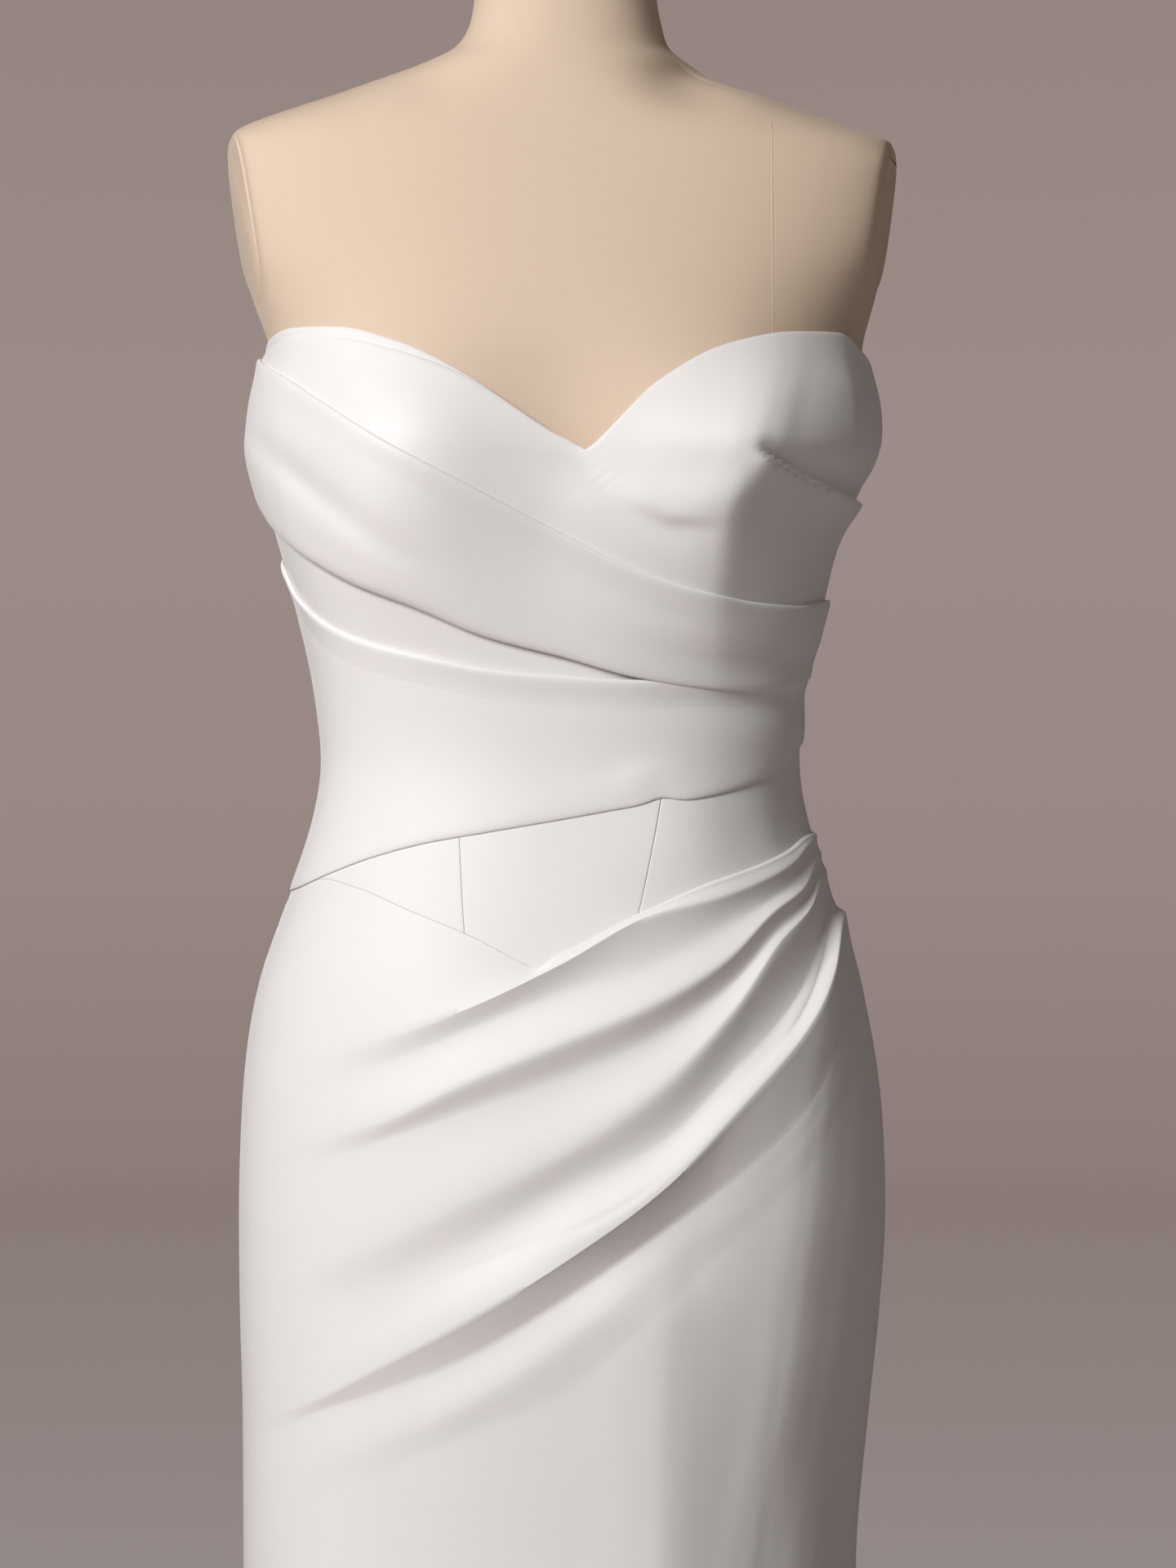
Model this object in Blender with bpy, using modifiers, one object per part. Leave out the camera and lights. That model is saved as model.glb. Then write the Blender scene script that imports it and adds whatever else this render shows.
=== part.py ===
"""Strapless draped wedding dress on a limbless dress form with a round stand.

Units are metres, +Z is up, the front faces -Y and the origin is on the floor under the pole.
Every cloth piece is a thin wall laid round one figure. A place on the figure is an angle
(degrees, 0 at the centre front, +90 at the +X side seam, 180 at the centre back), a height
and an offset, which is how far the outer face of the cloth stands off the figure.
"Left" and "right" are the wearer's own, so the wearer's left is the +X side.
"""

import math

import bmesh
import bpy
from mathutils import Matrix, Vector

MM = 0.001

# ---------------------------------------------------------------------------
# The figure: one row for each horizontal section, sizes in metres
# ---------------------------------------------------------------------------

SECTION_COLUMNS = ("height", "right", "left", "front", "back")
FIGURE_SECTIONS = (
    (0.018, 0.262, 0.252, 0.185, 0.235),
    (0.150, 0.222, 0.212, 0.155, 0.190),
    (0.320, 0.184, 0.174, 0.124, 0.142),
    (0.480, 0.170, 0.158, 0.110, 0.118),
    (0.647, 0.171, 0.158, 0.110, 0.114),
    (0.736, 0.1715, 0.165, 0.1125, 0.118),
    (0.790, 0.173, 0.1705, 0.1145, 0.123),
    (0.843, 0.1735, 0.1735, 0.116, 0.126),
    (0.896, 0.172, 0.1715, 0.1165, 0.125),
    (0.932, 0.169, 0.167, 0.115, 0.120),
    (0.967, 0.1625, 0.1595, 0.1115, 0.112),
    (1.003, 0.150, 0.1485, 0.105, 0.102),
    (1.029, 0.140, 0.140, 0.0995, 0.095),
    (1.056, 0.1315, 0.1315, 0.0945, 0.089),
    (1.085, 0.127, 0.127, 0.092, 0.086),
    (1.118, 0.1303, 0.1285, 0.0935, 0.088),
    (1.145, 0.1352, 0.1322, 0.0955, 0.091),
    (1.172, 0.1424, 0.139, 0.098, 0.095),
    (1.198, 0.1500, 0.145, 0.100, 0.098),
    (1.234, 0.1595, 0.1605, 0.1025, 0.102),
    (1.260, 0.1660, 0.1710, 0.1035, 0.104),
    (1.283, 0.1650, 0.1695, 0.102, 0.105),
    (1.305, 0.158, 0.163, 0.100, 0.106),
    (1.335, 0.170, 0.172, 0.094, 0.106),
    (1.360, 0.185, 0.185, 0.087, 0.104),
    (1.385, 0.192, 0.192, 0.080, 0.100),
    (1.405, 0.194, 0.194, 0.074, 0.094),
    (1.420, 0.190, 0.184, 0.069, 0.087),
    (1.430, 0.176, 0.159, 0.065, 0.082),
    (1.438, 0.155, 0.136, 0.062, 0.077),
    (1.447, 0.127, 0.111, 0.059, 0.072),
    (1.456, 0.101, 0.083, 0.056, 0.067),
    (1.465, 0.076, 0.069, 0.054, 0.063),
    (1.474, 0.058, 0.058, 0.052, 0.060),
    (1.487, 0.050, 0.054, 0.050, 0.056),
    (1.501, 0.0476, 0.0516, 0.048, 0.052),
    (1.545, 0.0465, 0.0505, 0.047, 0.050),
)
PLAN_POWER = 2.0 / 2.25          # a little squarer than an ellipse in plan

BUST_APART = 0.090               # from the centre line to each bust point
BUST_HEIGHT = 1.247
BUST_OUT = 0.034
BUST_REACH_INWARD = 0.070
BUST_REACH_OUTWARD = 0.050
BUST_REACH_UP = 0.062
BUST_REACH_DOWN = 0.047
BUST_FRONT_SHARE = 2.2           # the bust dies out towards the side seams

# ---------------------------------------------------------------------------
# Cloth
# ---------------------------------------------------------------------------

WALL = 1.2 * MM
SEAM_GAP = 0.6 * MM              # between the two cut edges of a seam
SIDE = 90.0                      # angle of the side seams
CENTRE_BACK = 180.0
FRONT_SPANS = 27                 # an odd number, so that a column lies each side of the centre
STEP = 2 * SIDE / FRONT_SPANS    # degrees between two columns of the front pieces
BACK_STEP = 7.5

BODY_LEVEL = 2.0                 # outer face of cloth that lies on the form, in mm
SECOND_LEVEL = 4.0               # outer face of cloth that lies on one other layer
THIRD_LEVEL = 6.0                # outer face of cloth that lies on two

V_ANGLE = STEP / 2               # the point of the sweetheart neckline
V_HEIGHT = 1249
BASQUE_POINT_ANGLE = -STEP / 2   # the point where the skirt's two top edges meet
BASQUE_POINT_HEIGHT = 976

# Heights in mm of each edge at these angles round the front
STATIONS = (-90, -75, -60, -45, -30, -15, 0, 15, 30, 45, 60, 75, 90)
EDGES = {
    "swathe_bust_top": (1305, 1300, 1291, 1275, 1253, 1231, 1206, 1185, 1175, 1170, 1169, 1172, 1174),
    "swathe_bust_low": (1225, 1211, 1194, 1179, 1167, 1152, 1141, 1130, 1125, 1123, 1125, 1128, 1131),
    "swathe_waist_top": (1196, 1175, 1159, 1149, 1142, 1135, 1131, 1129, 1131, 1131, 1133, 1136, 1139),
    "swathe_waist_low": (1016, 1018, 1025, 1034, 1042, 1048, 1055, 1062, 1066, 1072, 1080, 1091, 1096),
}
NECK_RIGHT = ((-90, 1305), (-75, 1314), (-60, 1318), (-45, 1317), (-30, 1308), (-15, 1289),
              (V_ANGLE, V_HEIGHT))
NECK_LEFT = ((V_ANGLE, V_HEIGHT), (15, 1286), (30, 1307), (45, 1314), (60, 1315), (75, 1306),
             (90, 1298))
DRAPE_RIGHT = ((-90, 1302), (-75, 1308), (-60, 1313), (-45, 1311), (-30, 1303), (-15, 1288),
               (V_ANGLE, V_HEIGHT))
BASQUE_ARM_RIGHT = ((-90, 1008), (-75, 1017), (-60, 1023), (-45, 1018), (-30, 1007), (-15, 993),
                    (BASQUE_POINT_ANGLE, BASQUE_POINT_HEIGHT))
BASQUE_ARM_LEFT = ((BASQUE_POINT_ANGLE, BASQUE_POINT_HEIGHT), (STEP / 2, 987), (9, 990), (15, 996),
                   (30, 1009), (45, 1018), (60, 1024), (75, 1030), (90, 1030))
SKIRT_EDGE_LEFT = ((BASQUE_POINT_ANGLE, BASQUE_POINT_HEIGHT), (STEP / 2, 987), (9, 998), (15, 1007),
                   (30, 1021), (45, 1030), (60, 1038), (75, 1046), (90, 1048))
TUCK = ((-90, 1250), (25, 1250), (33, 1250), (45, 1239), (60, 1232), (75, 1229), (90, 1227))
TUCK_START = (5, 33)             # angles over which the row through the drape turns into the tuck
SKIRT_EDGE_OUTER = ((-90, BODY_LEVEL), (BASQUE_POINT_ANGLE, BODY_LEVEL), (STEP / 2, SECOND_LEVEL),
                    (9, 4.6), (90, 4.2))
BACK_NECK = ((90, 1300), (110, 1292), (135, 1276), (160, 1262), (180, 1256))

BASQUE_SEAM_RIGHT = (-20.0, -2.5 * STEP)   # angles of the basque seams: top, bottom
BASQUE_SEAM_LEFT = (19.0, 12.0)
BASQUE_UNDER = 14                # mm that the basque runs up under the waist swathe
BACK_WAIST = 1018                # height of the waist seam behind
UNDERLAP = 12                    # mm that one swathe runs under the next
CUP_UNDER = 22                   # mm that the foundation cup runs down behind the drape
UNDER_SWATHE_END = 3 * STEP      # the under swathe runs out here
TUCK_WIDTH = 5                   # mm from the tuck's hollow to its lip
TUCK_SHARES = (0.40, 0.52)       # where the same two rows run on the rest of the drape
ROLL = 1.4                       # mm that a folded edge stands proud of its swathe
ROLL_AT = 4                      # mm from the folded edge to the top of its roll
LOW_ROLL_AT = 6
SETTLED_AT = 14                  # mm from the folded edge to where the swathe lies flat

# How far a form stands out, in mm, at angles round the front
TUCK_HOLLOW = ((-90, 0), (20, 0), (33, 1.6), (45, 2.0), (90, 1.6))
TUCK_LIP = ((-90, 0), (20, 0), (33, 0.8), (50, 2.4), (90, 3.4))
BUST_SWATHE_BULGE = ((-90, 2.6), (-60, 2.4), (-30, 1.6), (0, 1.0), (45, 0.6), (90, 0.6))
WAIST_SWATHE_ROLL = ((-90, 2.8), (-30, 2.4), (-10, 1.2), (5, 0), (90, 0))

# The skirt's folds leave the gather at the +X hip and fan out over the front. Each row is a line
# of the drape, crest or hollow: its heights in mm at STATIONS, and then its outer face in mm.
SKIRT_LINES = {
    "crest_1": ((905, 913, 922, 931, 940, 954, 976, 1003, 1016, 1025, 1033, 1042, 1043),
                (2, 2, 2, 2, 3.5, 5.5, 6.5, 6.8, 6.5, 6.2, 5.8, 5.2, 4.6)),
    "hollow_1": ((888, 896, 905, 914, 924, 940, 961, 983, 997, 1010, 1022, 1036, 1038),
                 (2, 2, 2, 2, 2, 2.2, 3.0, 4.2, 4.4, 4.4, 4.2, 4.0, 3.8)),
    "crest_2": ((862, 870, 878, 887, 897, 913, 933, 955, 978, 1000, 1016, 1031, 1033),
                (2, 2, 2, 2.6, 4.2, 6.4, 7.4, 8.2, 8.8, 8.6, 7.6, 5.8, 5.0)),
    "hollow_2": ((851, 859, 867, 876, 886, 904, 925, 945, 967, 991, 1009, 1026, 1028),
                 (2, 2, 2, 2, 2, 2, 2.6, 3.2, 4.0, 4.4, 4.2, 4.2, 4.0)),
    "crest_3": ((796, 802, 808, 816, 827, 848, 873, 908, 949, 982, 1003, 1021, 1023),
                (2, 2, 2, 2.4, 3.8, 6.4, 8.6, 10.4, 11.0, 9.6, 8.0, 6.2, 5.2)),
    "hollow_3": ((783, 789, 795, 803, 814, 833, 857, 891, 930, 966, 992, 1014, 1017),
                 (2, 2, 2, 2, 2, 2, 2.4, 3.2, 4.0, 4.4, 4.4, 4.4, 4.2)),
    "crest_4": ((732, 735, 739, 748, 769, 795, 828, 868, 909, 947, 979, 1005, 1010),
                (2, 2, 2.4, 5.0, 9.5, 13.0, 15.0, 15.5, 14.0, 12.0, 9.5, 7.2, 6.0)),
    "hollow_4": ((722, 725, 729, 740, 758, 781, 812, 852, 892, 928, 962, 991, 999),
                 (2, 2, 2, 2, 2, 2.4, 3.2, 4.0, 4.4, 4.6, 4.6, 4.6, 4.4)),
    "crest_5": ((700, 702, 705, 716, 732, 748, 774, 820, 864, 901, 942, 974, 984),
                (2, 2, 2, 2.4, 3.6, 5.4, 7.0, 7.8, 7.8, 7.4, 6.8, 6.0, 5.2)),
    "hollow_5": ((686, 688, 691, 702, 716, 731, 756, 801, 846, 884, 925, 961, 972),
                 (2, 2, 2, 2, 2, 2.4, 3.2, 4.0, 4.2, 4.2, 4.4, 4.6, 4.4)),
}
ROWS_BETWEEN_LINES = 2
ROWS_ABOVE_CREST_1 = 4
HEM_HEIGHT = 18                  # mm
ROWS_TO_HEM = 12
FOLDS_SETTLE = 0.33              # share of the way to the hem over which the folds die out
LOW_SKIRT_LEVELS = (736, 660, 575, 485, 390, 290, 190, 100, HEM_HEIGHT)

# Soft flutes of the lower skirt: angle, spread (degrees), depth at the hem (mm), top (mm)
FLUTES = (
    (-152, 13, 13, 600),
    (-122, 12, 11, 560),
    (-84, 12, 12, 580),
    (-50, 11, 10, 560),
    (-16, 11, 11, 620),
    (20, 10, 13, 860),
    (53, 12, 15, 900),
    (86, 11, 11, 600),
    (120, 12, 12, 560),
    (150, 13, 14, 600),
    (180, 12, 12, 560),
)

# ---------------------------------------------------------------------------
# Dress form, stand and zip
# ---------------------------------------------------------------------------

TORSO_COLUMNS = 32
TORSO_FOOT = 0.780               # flat underside of the torso
TORSO_FOOT_INSET = 0.012
TORSO_UNDER_CLOTH = 0.8 * MM     # the torso draws in by this where the dress covers it
DRESS_TOP_BEHIND = 1.30
HIDDEN_LEVELS = (0.790, 0.820, 0.860, 0.896, 0.932, 0.967, 1.003, 1.029, 1.056, 1.085, 1.118,
                 1.145, 1.172, 1.198, 1.222)          # under the dress
BARE_LEVELS = (1.247, 1.270, 1.290, 1.305, 1.320, 1.335, 1.360, 1.385, 1.405, 1.420, 1.430, 1.438, 1.447,
               1.456, 1.465, 1.474, 1.487, 1.501, 1.545)
TORSO_LEVELS = HIDDEN_LEVELS + BARE_LEVELS
FORM_CLEARANCE = 0.3 * MM

ARM_PLATE_THICKNESS = 0.004
ARM_PLATE_INSET = 0.8 * MM       # between the torso's edge and the plate's, all round
ARM_PLATE_FOOT = 1.308
ARM_SLAB_REACH = 0.30
ARM_PLATE_HEIGHT = 1.360         # where the sizes below are taken
# How far out the plate's face stands, then how much more for each metre back and up
ARM_RIGHT = (0.1690, 0.23, 0.14)
ARM_LEFT = (0.1722, 0.17, 0.124)

NECK_CAP_RADIUS = 0.0475
NECK_CAP_THICKNESS = 0.014
NECK_CENTRE = (0.002, 0.0015)

POLE_RADIUS = 0.0150
BASE_RADIUS = 0.170
BASE_THICKNESS = 0.014
BASE_EDGE = 0.003
SOCKET_RADIUS = 0.026
SOCKET_HEIGHT = 0.034
SOCKET_EDGE = 0.003
FLANGE_RADIUS = 0.045
FLANGE_THICKNESS = 0.010
ROUND_SIDES = 32

ZIP_SLIDER_HEIGHT = 1.2400
ZIP_SLIDER_SIZE = (0.0060, 0.0024, 0.0100)
ZIP_LUG = (0.0011, 0.0036)       # across, up
ZIP_BEVEL = 0.0005
ZIP_PIN_RADIUS = 0.0006
ZIP_PIN_RISE = 0.0010            # above the slider's middle
ZIP_SIDES = 12
ZIP_EYE_RADIUS = 0.0011
ZIP_BOSS_RADIUS = 0.0016
ZIP_PULL_WIDTH = 0.0050
ZIP_PULL_NECK = 0.0030
ZIP_PULL_THICKNESS = 0.0012
ZIP_PULL_LENGTH = 0.0240
ZIP_PULL_NECK_END = 0.0080       # below the pin
ZIP_PULL_WIDEST = 0.0130

COLLECTION = "wedding_dress_on_dress_form"


# ---------------------------------------------------------------------------
# Curves and the figure's surface
# ---------------------------------------------------------------------------

def smooth_curve(stations, values):
    """A curve through all the points that never overshoots between two of them."""
    spans = [b - a for a, b in zip(stations, stations[1:])]
    slopes = [(b - a) / span for a, b, span in zip(values, values[1:], spans)]
    tangents = [slopes[0]]
    for index in range(1, len(slopes)):
        before, after = slopes[index - 1], slopes[index]
        if before * after <= 0:
            tangents.append(0.0)
            continue
        weight_before = 2 * spans[index] + spans[index - 1]
        weight_after = spans[index] + 2 * spans[index - 1]
        total = weight_before + weight_after
        tangents.append(total / (weight_before / before + weight_after / after))
    tangents.append(slopes[-1])

    def value_at(place):
        index = 0
        while index < len(spans) - 1 and place > stations[index + 1]:
            index += 1
        span = spans[index]
        t = min(max((place - stations[index]) / span, 0.0), 1.0)
        rise = t * t * (3 - 2 * t)
        return (values[index] * (1 - rise) + values[index + 1] * rise
                + span * tangents[index] * t * (1 - t) ** 2
                - span * tangents[index + 1] * t * t * (1 - t))

    return value_at


def curve_through(points):
    """A smooth curve through (angle, value) pairs."""
    return smooth_curve([point[0] for point in points], [point[1] for point in points])


def ease(t):
    """0 to 1 with a soft start and end."""
    t = min(max(t, 0.0), 1.0)
    return t * t * (3 - 2 * t)


def blend(start, end, t):
    return start + (end - start) * t


SECTION = {name: smooth_curve([row[0] for row in FIGURE_SECTIONS],
                              [row[column] for row in FIGURE_SECTIONS])
           for column, name in enumerate(SECTION_COLUMNS)}
EDGE = {name: smooth_curve(STATIONS, heights) for name, heights in EDGES.items()}


def bust_rise(x, z, front_share):
    """How far the cups stand forward of the plain section."""
    total = 0.0
    for side in (-1, 1):
        across = side * x - BUST_APART
        up = z - BUST_HEIGHT
        reach_across = BUST_REACH_OUTWARD if across > 0 else BUST_REACH_INWARD
        reach_up = BUST_REACH_UP if up > 0 else BUST_REACH_DOWN
        total += math.exp(-(across / reach_across) ** 2 - (up / reach_up) ** 2)
    return BUST_OUT * total * min(max(front_share * BUST_FRONT_SHARE, 0.0), 1.0)


def figure_point(angle, height, offset):
    """Point at an angle and height, standing off the figure by an offset, all in metres."""
    sine = math.sin(math.radians(angle))
    cosine = math.cos(math.radians(angle))
    half_width = SECTION["left" if sine > 0 else "right"](height)
    depth = SECTION["front" if cosine > 0 else "back"](height)
    x = math.copysign(abs(sine) ** PLAN_POWER, sine) * half_width
    y = -math.copysign(abs(cosine) ** PLAN_POWER, cosine) * depth
    y -= bust_rise(x, height, cosine)
    outward = Vector((sine * depth, -cosine * half_width, 0.0)).normalized()
    return Vector((x, y, height)) + outward * offset


def flute_relief(angle, height):
    """Soft flutes of the lower skirt, in mm."""
    total = 0.0
    for centre, spread, depth, top in FLUTES:
        apart = (angle - centre + 180) % 360 - 180
        drop = ease((top - height) / (top - HEM_HEIGHT))
        total += depth * drop * math.exp(-(apart / spread) ** 2)
    return total


# ---------------------------------------------------------------------------
# Object helpers
# ---------------------------------------------------------------------------

def clear_scene():
    for item in list(bpy.data.objects):
        bpy.data.objects.remove(item, do_unlink=True)


def new_collection(name):
    collection = bpy.data.collections.new(name)
    bpy.context.scene.collection.children.link(collection)
    return collection


def new_material(name, colour, roughness, metallic=0.0):
    material = bpy.data.materials.new(name)
    material.use_nodes = True
    shader = material.node_tree.nodes["Principled BSDF"]
    shader.inputs["Base Color"].default_value = (*colour, 1.0)
    shader.inputs["Roughness"].default_value = roughness
    shader.inputs["Metallic"].default_value = metallic
    return material


def add_object(name, bm, collection, material, smooth_angle=35.0):
    """Make an object of a bmesh, shaded smooth with sharp edges kept."""
    mesh = bpy.data.meshes.new(name)
    bm.to_mesh(mesh)
    bm.free()
    mesh.materials.append(material)
    mesh.shade_smooth()
    mesh.set_sharp_from_angle(angle=math.radians(smooth_angle))
    item = bpy.data.objects.new(name, mesh)
    collection.objects.link(item)
    return item


def add_wall(item, thickness=WALL):
    """Give an open sheet its thickness, inward from the outer face."""
    wall = item.modifiers.new("Wall", "SOLIDIFY")
    wall.thickness = thickness
    wall.offset = -1.0
    wall.use_even_offset = False
    wall.use_quality_normals = True


# ---------------------------------------------------------------------------
# Cloth panels
# ---------------------------------------------------------------------------

def even_columns(start, end, step):
    count = round((end - start) / step)
    return [start + (end - start) * index / count for index in range(count + 1)]


def rows_between(upper, lower, steps):
    """Rows from one line of a panel to the next, without the last.

    A line is a pair of functions of the angle: its height and its outer face, both in mm.
    """
    rows = []
    for index in range(steps):
        t = index / steps

        def height(angle, t=t):
            return blend(upper[0](angle), lower[0](angle), t)

        def outer(angle, t=t):
            return blend(upper[1](angle), lower[1](angle), ease(t))

        rows.append((height, outer))
    return rows


def seam_shift(angle):
    """Draw the edges on the side and back seams apart by the seam gap."""
    if abs(abs(angle) - SIDE) < 0.01:
        return Vector((0.0, 1.0, 0.0)) * SEAM_GAP / 2
    if abs(abs(angle) - CENTRE_BACK) < 0.01:
        return Vector((math.copysign(SEAM_GAP / 2, angle), 0.0, 0.0))
    return Vector((0.0, 0.0, 0.0))


def cloth_panel(name, columns, rows, collection, material, slant=None):
    """A wall of cloth with a grid point at each column's angle and each row's height.

    slant turns a column's angle into its angle at a fraction of the way down the panel.
    """
    last_column, last_row = len(columns) - 1, len(rows) - 1
    front = max(abs(angle) for angle in columns) <= SIDE
    bm = bmesh.new()
    bmesh.ops.create_grid(bm, x_segments=last_column, y_segments=last_row, size=0.5)
    for vert in bm.verts:
        column = round((vert.co.x + 0.5) * last_column)
        row = round((0.5 - vert.co.y) * last_row)
        angle = columns[column]
        height, outer = rows[row]
        place = slant(angle, row / last_row) if slant else angle
        shift = seam_shift(angle)
        if front:
            shift = -shift
        vert.co = figure_point(place, height(place) * MM, outer(place) * MM) + shift
    item = add_object(name, bm, collection, material)
    add_wall(item)
    return item


def level(value):
    """An outer face that stays at one level."""
    return lambda angle: value


def standing(base, rise, share=1.0):
    """An outer face that stands off a level by a share of another curve."""
    return lambda angle: base + share * rise(angle)


def lowered(curve, drop):
    """A line some mm under another."""
    return lambda angle: curve(angle) - drop


def neck_edge(angle):
    """Top of the bodice foundation on the wearer's right, and of the drape on the left."""
    return curve_through(NECK_RIGHT if angle < V_ANGLE else NECK_LEFT)(angle)


def drape_edge(angle):
    """Top of the bust drape, a little under the foundation's edge on the wearer's right."""
    return curve_through(DRAPE_RIGHT if angle < V_ANGLE else NECK_LEFT)(angle)


def tuck_line(angle, share, drop):
    """A line some mm under the left cup's tuck, and at a share of the drape elsewhere."""
    top, low = drape_edge(angle), EDGE["swathe_bust_top"](angle) - UNDERLAP
    start, end = TUCK_START
    return blend(blend(top, low, share), curve_through(TUCK)(angle) - drop,
                 ease((angle - start) / (end - start)))


def basque_edge(angle):
    """Lower edge of the basque, a V; its left arm is under the skirt's first fold."""
    arm = BASQUE_ARM_RIGHT if angle < BASQUE_POINT_ANGLE else BASQUE_ARM_LEFT
    return curve_through(arm)(angle)


def skirt_edge(angle):
    """Top of the skirt front: along the basque, then along the first fold up to the hip."""
    arm = BASQUE_ARM_RIGHT if angle < BASQUE_POINT_ANGLE else SKIRT_EDGE_LEFT
    return curve_through(arm)(angle) - SEAM_GAP / MM


def build_cup(front, collection, satin):
    """Wearer's right cup: the foundation shows as a narrow border above the drape."""
    columns = [angle for angle in front if angle < -STEP]
    top = (neck_edge, level(BODY_LEVEL))
    low = (lowered(EDGE["swathe_bust_top"], CUP_UNDER), level(BODY_LEVEL))
    rows = rows_between(top, low, 6) + [low]
    cloth_panel("bodice_cup_right", columns, rows, collection, satin)


def build_bust_drape(front, collection, satin):
    """Crosses the right cup, passes the V and makes the left cup, with a tuck at its side."""
    top = (drape_edge, level(SECOND_LEVEL))
    hollow = (lambda angle: tuck_line(angle, TUCK_SHARES[0], 0),
              standing(SECOND_LEVEL, curve_through(TUCK_HOLLOW), -1.0))
    lip = (lambda angle: tuck_line(angle, TUCK_SHARES[1], TUCK_WIDTH),
           standing(SECOND_LEVEL, curve_through(TUCK_LIP)))
    low = (lowered(EDGE["swathe_bust_top"], UNDERLAP), level(SECOND_LEVEL))
    rows = rows_between(top, hollow, 5) + rows_between(hollow, lip, 1)
    rows += rows_between(lip, low, 5) + [low]
    cloth_panel("bust_drape", front, rows, collection, satin)


def build_swathes(front, collection, satin):
    """The folded bands that cross the ribs and the waist."""
    # From the right underarm down across the left ribs, both edges folded.
    bulge = curve_through(BUST_SWATHE_BULGE)
    top, foot = EDGE["swathe_bust_top"], EDGE["swathe_bust_low"]
    edge = (top, level(THIRD_LEVEL))
    roll = (lowered(top, ROLL_AT), level(THIRD_LEVEL + ROLL))
    flat = (lowered(top, SETTLED_AT), level(THIRD_LEVEL))
    low_roll = (lowered(foot, -LOW_ROLL_AT), standing(THIRD_LEVEL + ROLL / 2, bulge))
    low = (foot, standing(THIRD_LEVEL, bulge, 0.5))
    rows = rows_between(edge, roll, 1) + rows_between(roll, flat, 1)
    rows += rows_between(flat, low_roll, 4) + rows_between(low_roll, low, 1) + [low]
    cloth_panel("swathe_bust", front, rows, collection, satin)

    # The recessed band between the two large swathes, on the right side only.
    columns = [angle for angle in front if angle < UNDER_SWATHE_END]
    top = (lowered(EDGE["swathe_bust_low"], -UNDERLAP), level(BODY_LEVEL))
    low = (lowered(EDGE["swathe_waist_top"], UNDERLAP), level(BODY_LEVEL))
    rows = rows_between(top, low, 4) + [low]
    cloth_panel("swathe_under", columns, rows, collection, satin)

    # Round the waist: a rolled top edge that dives under the bust swathe, a folded lower edge.
    top, foot = EDGE["swathe_waist_top"], EDGE["swathe_waist_low"]
    edge = (top, level(SECOND_LEVEL))
    roll = (lowered(top, ROLL_AT), standing(SECOND_LEVEL, curve_through(WAIST_SWATHE_ROLL)))
    flat = (lowered(top, SETTLED_AT), level(SECOND_LEVEL))
    low_roll = (lowered(foot, -ROLL_AT), level(SECOND_LEVEL + ROLL))
    low = (foot, level(SECOND_LEVEL))
    rows = rows_between(edge, roll, 1) + rows_between(roll, flat, 1)
    rows += rows_between(flat, low_roll, 5) + rows_between(low_roll, low, 1) + [low]
    cloth_panel("swathe_waist", front, rows, collection, satin)


def build_basque(front, collection, satin):
    """Three panels of the fitted waist, in a V at the centre front."""
    half_gap = math.degrees(SEAM_GAP / 2 / SECTION["front"](1.03))
    right_top, right_low = BASQUE_SEAM_RIGHT
    left_top, left_low = BASQUE_SEAM_LEFT
    side_right = [angle for angle in front if angle < right_low - 0.01] + [right_low - half_gap]
    centre = [right_low + half_gap]
    centre += [angle for angle in front if right_low + 0.01 < angle < left_low]
    centre += [left_low - half_gap]
    side_left = even_columns(left_low + half_gap, SIDE, STEP)
    panels = (
        ("basque_side_right", side_right, -SIDE, right_top - half_gap),
        ("basque_centre", centre, right_top + half_gap, left_top - half_gap),
        ("basque_side_left", side_left, left_top + half_gap, SIDE),
    )
    top = (lambda angle: EDGE["swathe_waist_low"](angle) + BASQUE_UNDER, level(BODY_LEVEL))
    low = (basque_edge, level(BODY_LEVEL))
    rows = rows_between(top, low, 5) + [low]
    for name, columns, top_start, top_end in panels:

        def slant(angle, down, columns=columns, top_start=top_start, top_end=top_end):
            share = (angle - columns[0]) / (columns[-1] - columns[0])
            return blend(blend(top_start, top_end, share), angle, down)

        cloth_panel(name, columns, rows, collection, satin, slant)


def build_skirt_front(front, collection, satin):
    """Skirt front with its fan of folds."""
    lines = [(skirt_edge, curve_through(SKIRT_EDGE_OUTER))]
    for heights, outers in SKIRT_LINES.values():
        lines.append((smooth_curve(STATIONS, heights), smooth_curve(STATIONS, outers)))
    rows = rows_between(lines[0], lines[1], ROWS_ABOVE_CREST_1)
    for upper, lower in zip(lines[1:], lines[2:]):
        rows += rows_between(upper, lower, ROWS_BETWEEN_LINES)
    last = lines[-1]
    for index in range(ROWS_TO_HEM + 1):
        t = index / ROWS_TO_HEM

        def height(angle, t=t):
            return blend(last[0](angle), HEM_HEIGHT, t)

        def outer(angle, t=t):
            settled = blend(last[1](angle), BODY_LEVEL, ease(t / FOLDS_SETTLE))
            return settled + flute_relief(angle, blend(last[0](angle), HEM_HEIGHT, t))

        rows.append((height, outer))
    cloth_panel("skirt_front_drape", front, rows, collection, satin)


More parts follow.
